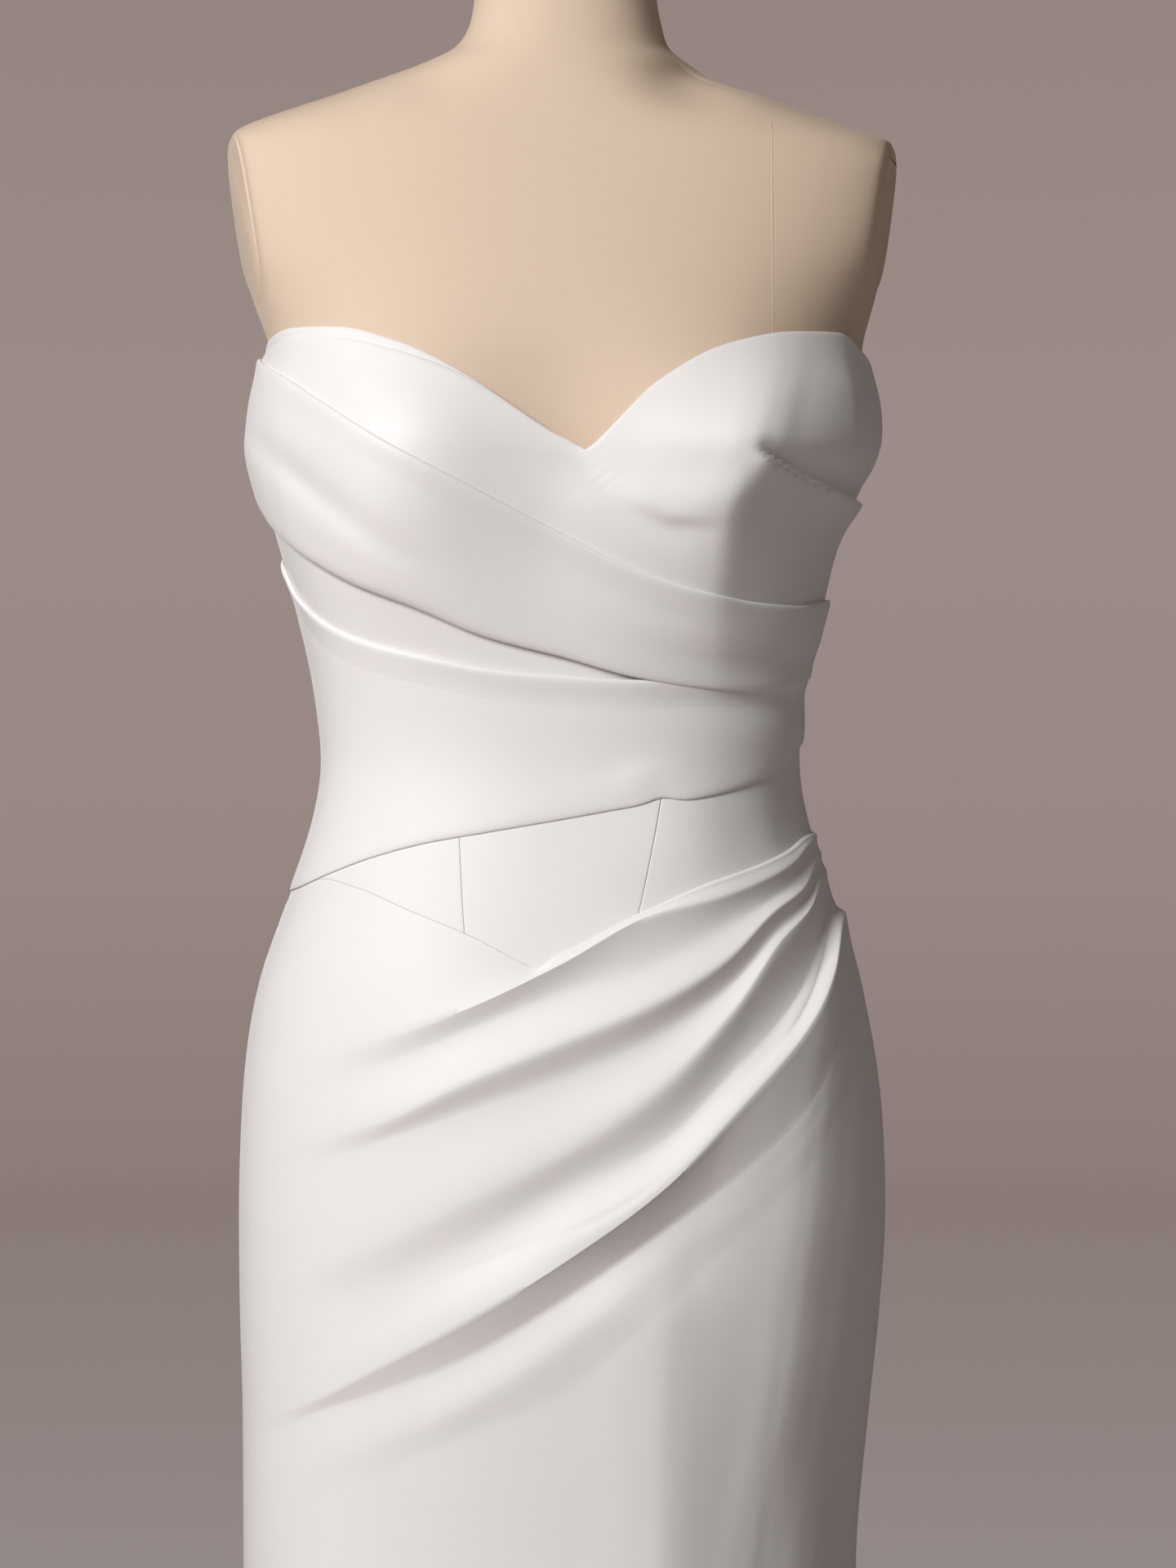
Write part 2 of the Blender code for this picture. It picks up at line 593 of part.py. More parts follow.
def build_skirt_back(collection, satin):
    """The two plain back panels, from the waist seam to the hem."""
    top = BACK_WAIST - SEAM_GAP / MM
    levels = [top] + [z / MM for z in reversed(HIDDEN_LEVELS) if z / MM < top - 1]
    levels += LOW_SKIRT_LEVELS
    rows = [(level(z), lambda angle, z=z: BODY_LEVEL + flute_relief(angle, z)) for z in levels]
    cloth_panel("skirt_back_left", even_columns(SIDE, CENTRE_BACK, BACK_STEP), rows,
                collection, satin)
    cloth_panel("skirt_back_right", even_columns(-CENTRE_BACK, -SIDE, BACK_STEP), rows,
                collection, satin)


def build_bodice_back(collection, satin):
    """Plain back of the bodice in two panels, parted by the zip."""
    neck = curve_through(BACK_NECK)
    top = (lambda angle: neck(abs(angle)), level(BODY_LEVEL))
    levels = [z / MM for z in reversed(HIDDEN_LEVELS) if z / MM > BACK_WAIST] + [BACK_WAIST]
    rows = rows_between(top, (level(levels[0]), level(BODY_LEVEL)), 4)
    rows += [(level(z), level(BODY_LEVEL)) for z in levels]
    cloth_panel("bodice_back_left", even_columns(SIDE, CENTRE_BACK, BACK_STEP), rows,
                collection, satin)
    cloth_panel("bodice_back_right", even_columns(-CENTRE_BACK, -SIDE, BACK_STEP), rows,
                collection, satin)


# ---------------------------------------------------------------------------
# Dress form and stand
# ---------------------------------------------------------------------------

def torso_mesh(draw_in):
    """The whole torso from neck to thigh, closed at both ends, drawn in all over."""
    levels = [TORSO_FOOT] + list(TORSO_LEVELS)
    bm = bmesh.new()
    bmesh.ops.create_grid(bm, x_segments=TORSO_COLUMNS, y_segments=len(levels) - 1, size=0.5)
    for vert in bm.verts:
        column = round((vert.co.x + 0.5) * TORSO_COLUMNS)
        height = levels[round((vert.co.y + 0.5) * (len(levels) - 1))]
        inset = -TORSO_UNDER_CLOTH if height < DRESS_TOP_BEHIND else -draw_in
        if height == TORSO_FOOT:
            inset = -TORSO_FOOT_INSET
        vert.co = figure_point(360.0 * column / TORSO_COLUMNS, height, inset)
    bmesh.ops.remove_doubles(bm, verts=bm.verts, dist=0.00001)
    rims = [edge for edge in bm.edges if edge.is_boundary]
    bmesh.ops.holes_fill(bm, edges=rims, sides=0)
    bmesh.ops.recalc_face_normals(bm, faces=bm.faces)
    return bm


def arm_slab(name, side, sizes, start, end, foot, collection, material):
    """A box that lies along an arm plate, from one distance off its face to another."""
    out, per_back, per_up = sizes
    normal = Vector((side, -per_back, -per_up)).normalized()
    along = Vector((0.0, 0.0, 1.0))
    along = (along - normal * along.dot(normal)).normalized()
    across = along.cross(normal)
    reach = ARM_SLAB_REACH
    bm = bmesh.new()
    add_box(bm, (end - start, reach, reach), ((start + end) / 2, 0.0, reach / 2))
    frame = Matrix((normal, across, along)).transposed().to_4x4()
    frame.translation = (side * (out + per_up * (foot - ARM_PLATE_HEIGHT)), 0.0, foot)
    bmesh.ops.transform(bm, matrix=frame, verts=bm.verts)
    bmesh.ops.recalc_face_normals(bm, faces=bm.faces)
    return add_object(name, bm, collection, material)


def build_torso(collection, cutters, jersey):
    """Torso, cut flat at the arms, and the two plates that cover the cuts."""
    torso = add_object("form_torso", torso_mesh(0.0), collection, jersey)
    whole = add_object("plate_outline", torso_mesh(ARM_PLATE_INSET), cutters, jersey)
    recess = -ARM_PLATE_THICKNESS - FORM_CLEARANCE
    for side, sizes, label in ((-1, ARM_RIGHT, "right"), (1, ARM_LEFT, "left")):
        cutter = arm_slab("arm_cut_" + label, side, sizes, recess, ARM_SLAB_REACH,
                          ARM_PLATE_FOOT, cutters, jersey)
        add_boolean(torso, cutter, "DIFFERENCE")
        plate = arm_slab("form_arm_plate_" + label, side, sizes, -ARM_PLATE_THICKNESS, 0.0,
                         ARM_PLATE_FOOT + FORM_CLEARANCE, collection, jersey)
        add_boolean(plate, whole, "INTERSECT")


def turned(name, profile, centre, collection, material, ring=False):
    """A turned solid from (radius, height) points that run down its outer side.

    A ring's profile goes on round to its first point.
    """
    mesh = bpy.data.meshes.new(name)
    bm = bmesh.new()
    verts = [bm.verts.new((radius, 0.0, height)) for radius, height in profile]
    for start, end in zip(verts, verts[1:]):
        bm.edges.new((start, end))
    if ring:
        bm.edges.new((verts[-1], verts[0]))
    bm.to_mesh(mesh)
    bm.free()
    mesh.materials.append(material)
    item = bpy.data.objects.new(name, mesh)
    collection.objects.link(item)
    item.location = (centre[0], centre[1], 0.0)
    screw = item.modifiers.new("Turn", "SCREW")
    screw.steps = ROUND_SIDES
    screw.render_steps = ROUND_SIDES
    screw.use_merge_vertices = True
    screw.merge_threshold = 0.00001
    screw.use_smooth_shade = True
    return item


def build_stand(collection, jersey, steel):
    """Neck cap, flange, pole, the socket that holds it and the round base plate."""
    cap_foot = TORSO_LEVELS[-1] + FORM_CLEARANCE
    cap_top = cap_foot + NECK_CAP_THICKNESS
    turned("form_neck_cap",
           ((0.0, cap_top), (NECK_CAP_RADIUS * 0.6, cap_top - 0.0008),
            (NECK_CAP_RADIUS - 0.003, cap_top - 0.003), (NECK_CAP_RADIUS, cap_top - 0.007),
            (NECK_CAP_RADIUS, cap_foot), (0.0, cap_foot)),
           NECK_CENTRE, collection, jersey)
    flange_top = TORSO_FOOT - FORM_CLEARANCE
    flange_foot = flange_top - FLANGE_THICKNESS
    turned("stand_flange",
           ((0.0, flange_top), (FLANGE_RADIUS, flange_top), (FLANGE_RADIUS, flange_top - 0.004),
            (POLE_RADIUS + 0.006, flange_foot), (0.0, flange_foot)),
           (0.0, 0.0), collection, steel)
    pole_top = flange_foot - FORM_CLEARANCE
    foot = BASE_THICKNESS + FORM_CLEARANCE
    turned("stand_pole",
           ((0.0, pole_top), (POLE_RADIUS, pole_top), (POLE_RADIUS, foot), (0.0, foot)),
           (0.0, 0.0), collection, steel)
    bore = POLE_RADIUS + FORM_CLEARANCE
    top = foot + SOCKET_HEIGHT
    turned("stand_socket",
           ((bore, top), (SOCKET_RADIUS - SOCKET_EDGE, top), (SOCKET_RADIUS, top - SOCKET_EDGE),
            (SOCKET_RADIUS, foot), (bore, foot)),
           (0.0, 0.0), collection, steel, ring=True)
    turned("stand_base",
           ((0.0, BASE_THICKNESS), (BASE_RADIUS - BASE_EDGE, BASE_THICKNESS),
            (BASE_RADIUS, BASE_THICKNESS - BASE_EDGE), (BASE_RADIUS, 0.0), (0.0, 0.0)),
           (0.0, 0.0), collection, steel)


# ---------------------------------------------------------------------------
# Zip slider and pull
# ---------------------------------------------------------------------------

def add_box(bm, size, centre):
    made = bmesh.ops.create_cube(bm, size=1.0)
    bmesh.ops.scale(bm, verts=made["verts"], vec=size)
    bmesh.ops.translate(bm, verts=made["verts"], vec=centre)


def cylinder_along_x(name, radius, length, centre, collection, sides):
    bm = bmesh.new()
    bmesh.ops.create_cone(bm, cap_ends=True, segments=sides, radius1=radius, radius2=radius,
                          depth=length, matrix=Matrix.Rotation(math.pi / 2, 4, "Y"))
    item = bpy.data.objects.new(name, bpy.data.meshes.new(name))
    bm.to_mesh(item.data)
    bm.free()
    collection.objects.link(item)
    item.location = centre
    return item


def add_boolean(item, other, operation):
    change = item.modifiers.new(operation.title(), "BOOLEAN")
    change.operation = operation
    change.solver = "EXACT"
    change.object = other
    other.hide_render = True
    other.display_type = "WIRE"


def build_zip(collection, cutters, nickel):
    """Slider on the centre back seam, with a pull that swings on its pin."""
    width, depth, height = ZIP_SLIDER_SIZE
    ends = (ZIP_SLIDER_HEIGHT - height / 2, ZIP_SLIDER_HEIGHT + height / 2)
    cloth_out = max(figure_point(CENTRE_BACK, end, BODY_LEVEL * MM).y for end in ends)
    back = cloth_out + FORM_CLEARANCE
    face = back + depth
    lug_width, lug_height = ZIP_LUG
    pin_y = face + ZIP_BOSS_RADIUS + FORM_CLEARANCE
    lug_depth = 2 * (pin_y - face)
    pin_z = ZIP_SLIDER_HEIGHT + ZIP_PIN_RISE

    bm = bmesh.new()
    add_box(bm, (width, depth, height), (0.0, back + depth / 2, ZIP_SLIDER_HEIGHT))
    bmesh.ops.bevel(bm, geom=bm.edges[:], offset=ZIP_BEVEL, segments=1, profile=0.5,
                    affect="EDGES")
    slider = add_object("zip_slider", bm, collection, nickel)
    lug_x = ZIP_PULL_NECK / 2 + FORM_CLEARANCE + lug_width / 2
    for side, label in ((-1, "right"), (1, "left")):
        bm = bmesh.new()
        add_box(bm, (lug_width, lug_depth + depth / 2, lug_height),
                (side * lug_x, face + lug_depth / 2 - depth / 4, pin_z))
        lug = add_object("zip_lug_" + label, bm, cutters, nickel)
        add_boolean(slider, lug, "UNION")
    pin = cylinder_along_x("zip_pin", ZIP_PIN_RADIUS, 2 * lug_x + lug_width / 2,
                           (0.0, pin_y, pin_z), cutters, ZIP_SIDES)
    add_boolean(slider, pin, "UNION")

    pull = flat_pull(pin_y, pin_z, collection, nickel)
    eye = cylinder_along_x("zip_eye", ZIP_EYE_RADIUS, ZIP_PULL_WIDTH, (0.0, 0.0, 0.0), cutters,
                           ZIP_SIDES)
    eye.parent = pull
    add_boolean(pull, eye, "DIFFERENCE")


def flat_pull(pin_y, pin_z, collection, nickel):
    """A drop-shaped pull: a boss round the pin, a narrow neck and a wider flat drop."""
    bm = bmesh.new()
    bmesh.ops.create_cone(bm, cap_ends=True, segments=ZIP_SIDES, radius1=ZIP_BOSS_RADIUS,
                          radius2=ZIP_BOSS_RADIUS, depth=ZIP_PULL_NECK,
                          matrix=Matrix.Rotation(math.pi / 2, 4, "Y"))
    pull = add_object("zip_pull", bm, collection, nickel)
    pull.location = (0.0, pin_y, pin_z)

    blade = bpy.data.curves.new("zip_blade", "CURVE")
    blade.dimensions = "2D"
    blade.fill_mode = "BOTH"
    blade.extrude = ZIP_PULL_THICKNESS / 2
    outline = blade.splines.new("POLY")
    points = blade_outline()
    outline.points.add(len(points) - 1)
    for point, (x, z) in zip(outline.points, points):
        point.co = (x, z, 0.0, 1.0)
    outline.use_cyclic_u = True
    return weld_blade(pull, blade, nickel)


def blade_outline():
    """Half-round drop on a straight neck, seen flat, from the pin's centre downwards."""
    neck = 0.43 * ZIP_PULL_NECK
    drop = ZIP_PULL_WIDTH / 2
    end = -ZIP_PULL_LENGTH
    side = [(neck, -0.75 * ZIP_BOSS_RADIUS), (neck, -ZIP_PULL_NECK_END), (drop, -ZIP_PULL_WIDEST),
            (drop, end + drop)]
    arc = [(drop * math.cos(math.radians(turn)), end + drop - drop * math.sin(math.radians(turn)))
           for turn in range(30, 180, 30)]
    return side + arc + [(-x, z) for x, z in reversed(side)]


def weld_blade(pull, blade, nickel):
    """Join the blade's mesh to the boss with a union, then drop the helpers."""
    helper = bpy.data.objects.new("zip_blade", blade)
    bpy.context.scene.collection.objects.link(helper)
    graph = bpy.context.evaluated_depsgraph_get()
    mesh = bpy.data.meshes.new_from_object(helper.evaluated_get(graph))
    bpy.data.objects.remove(helper, do_unlink=True)
    bm = bmesh.new()
    bm.from_mesh(mesh)
    bmesh.ops.remove_doubles(bm, verts=bm.verts, dist=0.000001)
    bmesh.ops.transform(bm, matrix=Matrix.Rotation(math.pi / 2, 4, "X"), verts=bm.verts)
    bmesh.ops.recalc_face_normals(bm, faces=bm.faces)
    solid = add_object("zip_blade", bm, bpy.data.collections["cutters"], nickel)
    solid.parent = pull
    add_boolean(pull, solid, "UNION")
    return pull


def main():
    clear_scene()
    collection = new_collection(COLLECTION)
    cutters = new_collection("cutters")
    satin = new_material("ivory_satin", (0.86, 0.845, 0.82), 0.45)
    jersey = new_material("beige_jersey", (0.72, 0.58, 0.44), 0.80)
    steel = new_material("brushed_steel", (0.60, 0.59, 0.57), 0.35, 1.0)
    nickel = new_material("zip_nickel", (0.78, 0.77, 0.74), 0.30, 1.0)
    build_torso(collection, cutters, jersey)
    build_stand(collection, jersey, steel)
    front = even_columns(-SIDE, SIDE, STEP)
    build_cup(front, collection, satin)
    build_bust_drape(front, collection, satin)
    build_swathes(front, collection, satin)
    build_basque(front, collection, satin)
    build_bodice_back(collection, satin)
    build_skirt_front(front, collection, satin)
    build_skirt_back(collection, satin)
    build_zip(collection, cutters, nickel)


main()
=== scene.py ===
"""Looks of a strapless draped wedding dress on a limbless dress form with a round stand.

Units are metres unless a name says mm, +Z is up and the front faces -Y. A place on the figure
is an angle (degrees, 0 at the centre front, +90 at the wearer's left side seam, 180 at the
centre back), a height and an offset, which is how far the cloth's outer face stands off the
figure. "Left" and "right" are the wearer's own, so the wearer's left is the +X side.
"""

import logging
import math
from dataclasses import dataclass, field
from enum import Enum
from typing import Callable, Sequence

import bmesh
import bpy
import numpy as np
from mathutils import Matrix, Vector


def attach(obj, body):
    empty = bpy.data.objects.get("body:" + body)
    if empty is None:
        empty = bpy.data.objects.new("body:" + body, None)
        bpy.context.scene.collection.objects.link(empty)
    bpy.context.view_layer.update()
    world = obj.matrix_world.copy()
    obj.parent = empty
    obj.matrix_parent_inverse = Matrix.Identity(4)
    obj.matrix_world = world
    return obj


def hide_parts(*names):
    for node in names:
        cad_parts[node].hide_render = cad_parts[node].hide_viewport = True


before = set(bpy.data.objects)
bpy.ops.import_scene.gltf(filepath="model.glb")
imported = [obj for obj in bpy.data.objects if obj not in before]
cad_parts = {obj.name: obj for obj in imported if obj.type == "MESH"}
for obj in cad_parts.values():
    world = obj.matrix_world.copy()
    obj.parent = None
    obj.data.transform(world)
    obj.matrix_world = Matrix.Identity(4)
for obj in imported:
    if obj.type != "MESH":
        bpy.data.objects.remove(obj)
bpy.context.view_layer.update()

LOG = logging.getLogger("wedding_dress")
MM = 0.001
ROOT_BODY = "dress_on_form"

Line = Callable[[np.ndarray], np.ndarray]
Relief = Callable[[np.ndarray, np.ndarray], np.ndarray]
Table = tuple[tuple[float, float], ...]
Colour = tuple[float, float, float]


class Finish(Enum):
    """The record's material slots."""

    SATIN = "ivory_satin"
    JERSEY = "beige_jersey"
    STEEL = "brushed_steel"
    NICKEL = "zip_nickel"


# ---------------------------------------------------------------------------
# Curves
# ---------------------------------------------------------------------------

class Curve:
    """A smooth curve through (place, value) pairs that never overshoots between two of them."""

    def __init__(self, points: Sequence[Sequence[float]]) -> None:
        """Work out the slope at each point.

        Args:
            points: (place, value) pairs in rising order of place.
        """
        table = np.array(points, float)
        self.places, self.values = table[:, 0], table[:, 1]
        spans = np.diff(self.places)
        slopes = np.diff(self.values) / spans
        tangents = np.empty(len(self.places))
        tangents[0], tangents[-1] = slopes[0], slopes[-1]
        for index in range(1, len(slopes)):
            before, after = slopes[index - 1], slopes[index]
            if before * after <= 0:
                tangents[index] = 0.0
                continue
            weight_before = 2 * spans[index] + spans[index - 1]
            weight_after = spans[index] + 2 * spans[index - 1]
            total = weight_before + weight_after
            tangents[index] = total / (weight_before / before + weight_after / after)
        self.tangents = tangents

    def __call__(self, place: np.ndarray | float) -> np.ndarray:
        """The curve's values, held level past its two ends.

        Args:
            place: one place or many.

        Returns:
            The value at each place.
        """
        place = np.clip(np.asarray(place, float), self.places[0], self.places[-1])
        index = np.clip(np.searchsorted(self.places, place) - 1, 0, len(self.places) - 2)
        span = self.places[index + 1] - self.places[index]
        t = (place - self.places[index]) / span
        rise = t * t * (3 - 2 * t)
        return (self.values[index] * (1 - rise) + self.values[index + 1] * rise
                + span * self.tangents[index] * t * (1 - t) ** 2
                - span * self.tangents[index + 1] * t * t * (1 - t))


def ease(t: np.ndarray | float) -> np.ndarray:
    """0 to 1 with a soft start and end."""
    t = np.clip(t, 0.0, 1.0)
    return t * t * (3 - 2 * t)


def blend(start: np.ndarray | float, end: np.ndarray | float, t: np.ndarray | float) -> np.ndarray:
    """The value a share t of the way from start to end."""
    return start + (end - start) * t


def below(place: np.ndarray | float, start: float, reach: float) -> np.ndarray:
    """0 above a start, growing softly to 1 over the reach under it."""
    return ease((start - place) / reach)


def level(value: float) -> Line:
    """A line that keeps one value all round."""
    return lambda angle: np.full_like(np.asarray(angle, float), value)


def shifted(line: Line, drop: float) -> Line:
    """A line some mm under another."""
    return lambda angle: line(angle) - drop


# ---------------------------------------------------------------------------
# The figure
# ---------------------------------------------------------------------------

# height, right, left, front, back of each horizontal section, in metres
FIGURE_SECTIONS = (
    (0.018, 0.262, 0.252, 0.185, 0.235),
    (0.150, 0.222, 0.212, 0.155, 0.190),
    (0.320, 0.184, 0.174, 0.124, 0.142),
    (0.480, 0.170, 0.158, 0.110, 0.118),
    (0.647, 0.171, 0.158, 0.110, 0.114),
    (0.736, 0.1715, 0.165, 0.1125, 0.118),
    (0.790, 0.173, 0.1705, 0.1145, 0.123),
    (0.843, 0.1735, 0.1735, 0.116, 0.126),
    (0.896, 0.172, 0.1715, 0.1165, 0.125),
    (0.932, 0.169, 0.167, 0.115, 0.120),
    (0.967, 0.1625, 0.1595, 0.1115, 0.112),
    (1.003, 0.150, 0.1485, 0.105, 0.102),
    (1.029, 0.140, 0.140, 0.0995, 0.095),
    (1.056, 0.1315, 0.1315, 0.0945, 0.089),
    (1.085, 0.127, 0.127, 0.092, 0.086),
    (1.118, 0.1303, 0.1285, 0.0935, 0.088),
    (1.145, 0.1352, 0.1322, 0.0955, 0.091),
    (1.172, 0.1424, 0.139, 0.098, 0.095),
    (1.198, 0.1500, 0.145, 0.100, 0.098),
    (1.234, 0.1595, 0.1605, 0.1025, 0.102),
    (1.260, 0.1660, 0.1710, 0.1035, 0.104),
    (1.283, 0.1650, 0.1695, 0.102, 0.105),
    (1.305, 0.158, 0.163, 0.100, 0.106),
    (1.335, 0.170, 0.172, 0.094, 0.106),
    (1.360, 0.185, 0.185, 0.087, 0.104),
    (1.385, 0.192, 0.192, 0.080, 0.100),
    (1.405, 0.194, 0.194, 0.074, 0.094),
    (1.420, 0.190, 0.184, 0.069, 0.087),
    (1.430, 0.176, 0.159, 0.065, 0.082),
    (1.438, 0.155, 0.136, 0.062, 0.077),
    (1.447, 0.127, 0.111, 0.059, 0.072),
    (1.456, 0.101, 0.083, 0.056, 0.067),
    (1.465, 0.076, 0.069, 0.054, 0.063),
    (1.474, 0.058, 0.058, 0.052, 0.060),
    (1.487, 0.050, 0.054, 0.050, 0.056),
    (1.501, 0.0476, 0.0516, 0.048, 0.052),
    (1.545, 0.0465, 0.0505, 0.047, 0.050),
)


# The ridge down the left cup: its place across at each height, and the rise beside it
RIDGE_PLACE = Curve(((1.170, 0.080), (1.185, 0.083), (1.202, 0.085), (1.218, 0.088),
                     (1.232, 0.095), (1.250, 0.103), (1.268, 0.106), (1.285, 0.110),
                     (1.301, 0.113), (1.320, 0.114)))
RIDGE_ACROSS = Curve(((-0.20, 0.0), (-0.15, 0.07), (-0.10, 0.26), (-0.07, 0.50), (-0.045, 0.77),
                      (-0.025, 1.01), (-0.010, 1.19), (0.0, 1.25), (0.008, 1.22), (0.020, 1.08),
                      (0.035, 0.94), (0.050, 0.82), (0.080, 0.70)))
RIDGE_UNDER_TUCK = Curve(((-0.20, 0.0), (-0.15, 0.07), (-0.10, 0.24), (-0.07, 0.46),
                          (-0.045, 0.70), (-0.025, 0.92), (-0.010, 1.10), (-0.003, 1.165),
                          (0.0, 1.175), (0.004, 1.15), (0.012, 1.03), (0.022, 0.88),
                          (0.035, 0.74), (0.050, 0.64), (0.080, 0.56)))


@dataclass
class Figure:
    """The body shape that every piece of cloth and the dress form are laid on."""

    plan_power: float = 2.0 / 2.25       # a little squarer than an ellipse in plan
    bust_apart: float = 0.090            # from the centre line to each bust point
    bust_height: float = 1.247
    bust_out: float = 0.034
    bust_reach_inward: float = 0.070
    bust_reach_outward: float = 0.050
    bust_reach_up: float = 0.062
    bust_reach_down: float = 0.047
    bust_front_share: float = 2.2
    ridge: float = 0.0                   # 1 where cloth makes a ridge down the left cup
    ridge_from: float = 1.280            # the ridge softens above this height
    ridge_fades: float = 0.040
    ridge_loss: float = 0.3              # share of the ridge that is lost over that fade
    under_tuck: tuple[float, float] = (1.234, 1.256)   # the ridge is crisper below these
    turn: float = 0.0                    # metres; the left front stands out, its side sinks
    turn_height: float = 1.050
    turn_reach: float = 0.030
    turn_front: tuple[float, float] = (27.0, 14.0)     # angle and spread, degrees
    turn_side: tuple[float, float] = (66.0, 13.0)
    turn_side_share: float = 0.55
    profile_step: float = 0.0005
    skirt_softness: float = 0.008        # how far the sections' profiles are evened out
    shoulder_softness: float = 0.0015
    soft_until: float = 1.300
    sharp_from: float = 1.400
    profiles: dict[str, np.ndarray] = field(default_factory=dict)

    def __post_init__(self) -> None:
        """Make one even profile for each column of the section table."""
        table = np.array(FIGURE_SECTIONS)
        self.heights = np.arange(table[0, 0], table[-1, 0] + self.profile_step / 2,
                                 self.profile_step)
        share = ease((self.heights - self.soft_until) / (self.sharp_from - self.soft_until))
        for column, name in enumerate(("right", "left", "front", "back"), start=1):
            plain = Curve(table[:, (0, column)])(self.heights)
            self.profiles[name] = blend(self.evened(plain, self.skirt_softness),
                                        self.evened(plain, self.shoulder_softness), share)

    def evened(self, profile: np.ndarray, spread: float) -> np.ndarray:
        """A profile with its small bends taken out.

        Args:
            profile: values at every step of height.
            spread: standard deviation of the smoothing, in metres.

        Returns:
            The smoothed values, with both ends' slopes kept.
        """
        reach = int(4 * spread / self.profile_step)
        steps = np.arange(-reach, reach + 1) * self.profile_step
        weights = np.exp(-0.5 * (steps / spread) ** 2)
        padded = np.pad(profile, reach, mode="reflect", reflect_type="odd")
        return np.convolve(padded, weights / weights.sum(), mode="valid")

    def profile(self, name: str, height: np.ndarray) -> np.ndarray:
        """A section size at these heights."""
        return np.interp(height, self.heights, self.profiles[name])

    def left_cup(self, x: np.ndarray, height: np.ndarray, plain: np.ndarray) -> np.ndarray:
        """The left cup's share of its full rise, with a ridge down its outer side.

        Args:
            x: place across, in metres.
            height: height in metres.
            plain: the share without a ridge.

        Returns:
            The share of the full rise.
        """
        across = x - RIDGE_PLACE(height)
        low, high = self.under_tuck
        ridged = blend(RIDGE_UNDER_TUCK(across), RIDGE_ACROSS(across),
                       ease((height - low) / (high - low)))
        fade = 1 - self.ridge_loss * ease((height - self.ridge_from) / self.ridge_fades)
        return blend(plain, ridged, self.ridge * fade)

    def turned_share(self, angle: np.ndarray, height: np.ndarray) -> np.ndarray:
        """How the left hip turns from its front to its side under the waist, 1 at most.

        Args:
            angle: degrees round the figure.
            height: metres.

        Returns:
            The share of the full turn, under zero at the side.
        """
        front, side = (np.exp(-((angle - at) / spread) ** 2)
                       for at, spread in (self.turn_front, self.turn_side))
        level_share = np.exp(-((height - self.turn_height) / self.turn_reach) ** 2)
        return level_share * (front - self.turn_side_share * side)

    def bust_rise(self, x: np.ndarray, height: np.ndarray, front: np.ndarray) -> np.ndarray:
        """How far the cups stand forward of the plain section.

        Args:
            x: place across, in metres.
            height: height in metres.
            front: cosine of the angle round the figure.

        Returns:
            The rise in metres.
        """
        total = np.zeros_like(x)
        for side in (-1, 1):
            across = side * x - self.bust_apart
            up = height - self.bust_height
            reach_across = np.where(across > 0, self.bust_reach_outward, self.bust_reach_inward)
            reach_up = np.where(up > 0, self.bust_reach_up, self.bust_reach_down)
            share = np.exp(-(across / reach_across) ** 2)
            if side > 0 and self.ridge:
                share = self.left_cup(x, height, share)
            total += share * np.exp(-(up / reach_up) ** 2)
        return self.bust_out * total * np.clip(front * self.bust_front_share, 0.0, 1.0)

    def points(self, angle: np.ndarray, height: np.ndarray, offset: np.ndarray) -> np.ndarray:
        """Points that stand off the figure.

        Args:
            angle: degrees round the figure.
            height: metres.
            offset: metres off the figure.

        Returns:
            An array of x, y, z, one row for each place.
        """
        angle, height, offset = np.broadcast_arrays(angle, height, offset)
        sine, cosine = np.sin(np.radians(angle)), np.cos(np.radians(angle))
        half_width = np.where(sine > 0, self.profile("left", height),
                              self.profile("right", height))
        depth = np.where(cosine > 0, self.profile("front", height), self.profile("back", height))
        x = np.copysign(np.abs(sine) ** self.plan_power, sine) * half_width
        y = -np.copysign(np.abs(cosine) ** self.plan_power, cosine) * depth
        y = y - self.bust_rise(x, height, cosine)
        outward = np.stack((sine * depth, -cosine * half_width), axis=-1)
        outward /= np.linalg.norm(outward, axis=-1, keepdims=True)
        offset = offset + self.turn * self.turned_share(angle, height)
        return np.stack((x + outward[..., 0] * offset, y + outward[..., 1] * offset, height),
                        axis=-1)


FORM_FIGURE = Figure()
FIGURE = Figure(ridge=1.0, bust_reach_down=0.082, turn=0.0045)


# ---------------------------------------------------------------------------
# Shader helpers and finishes
# ---------------------------------------------------------------------------

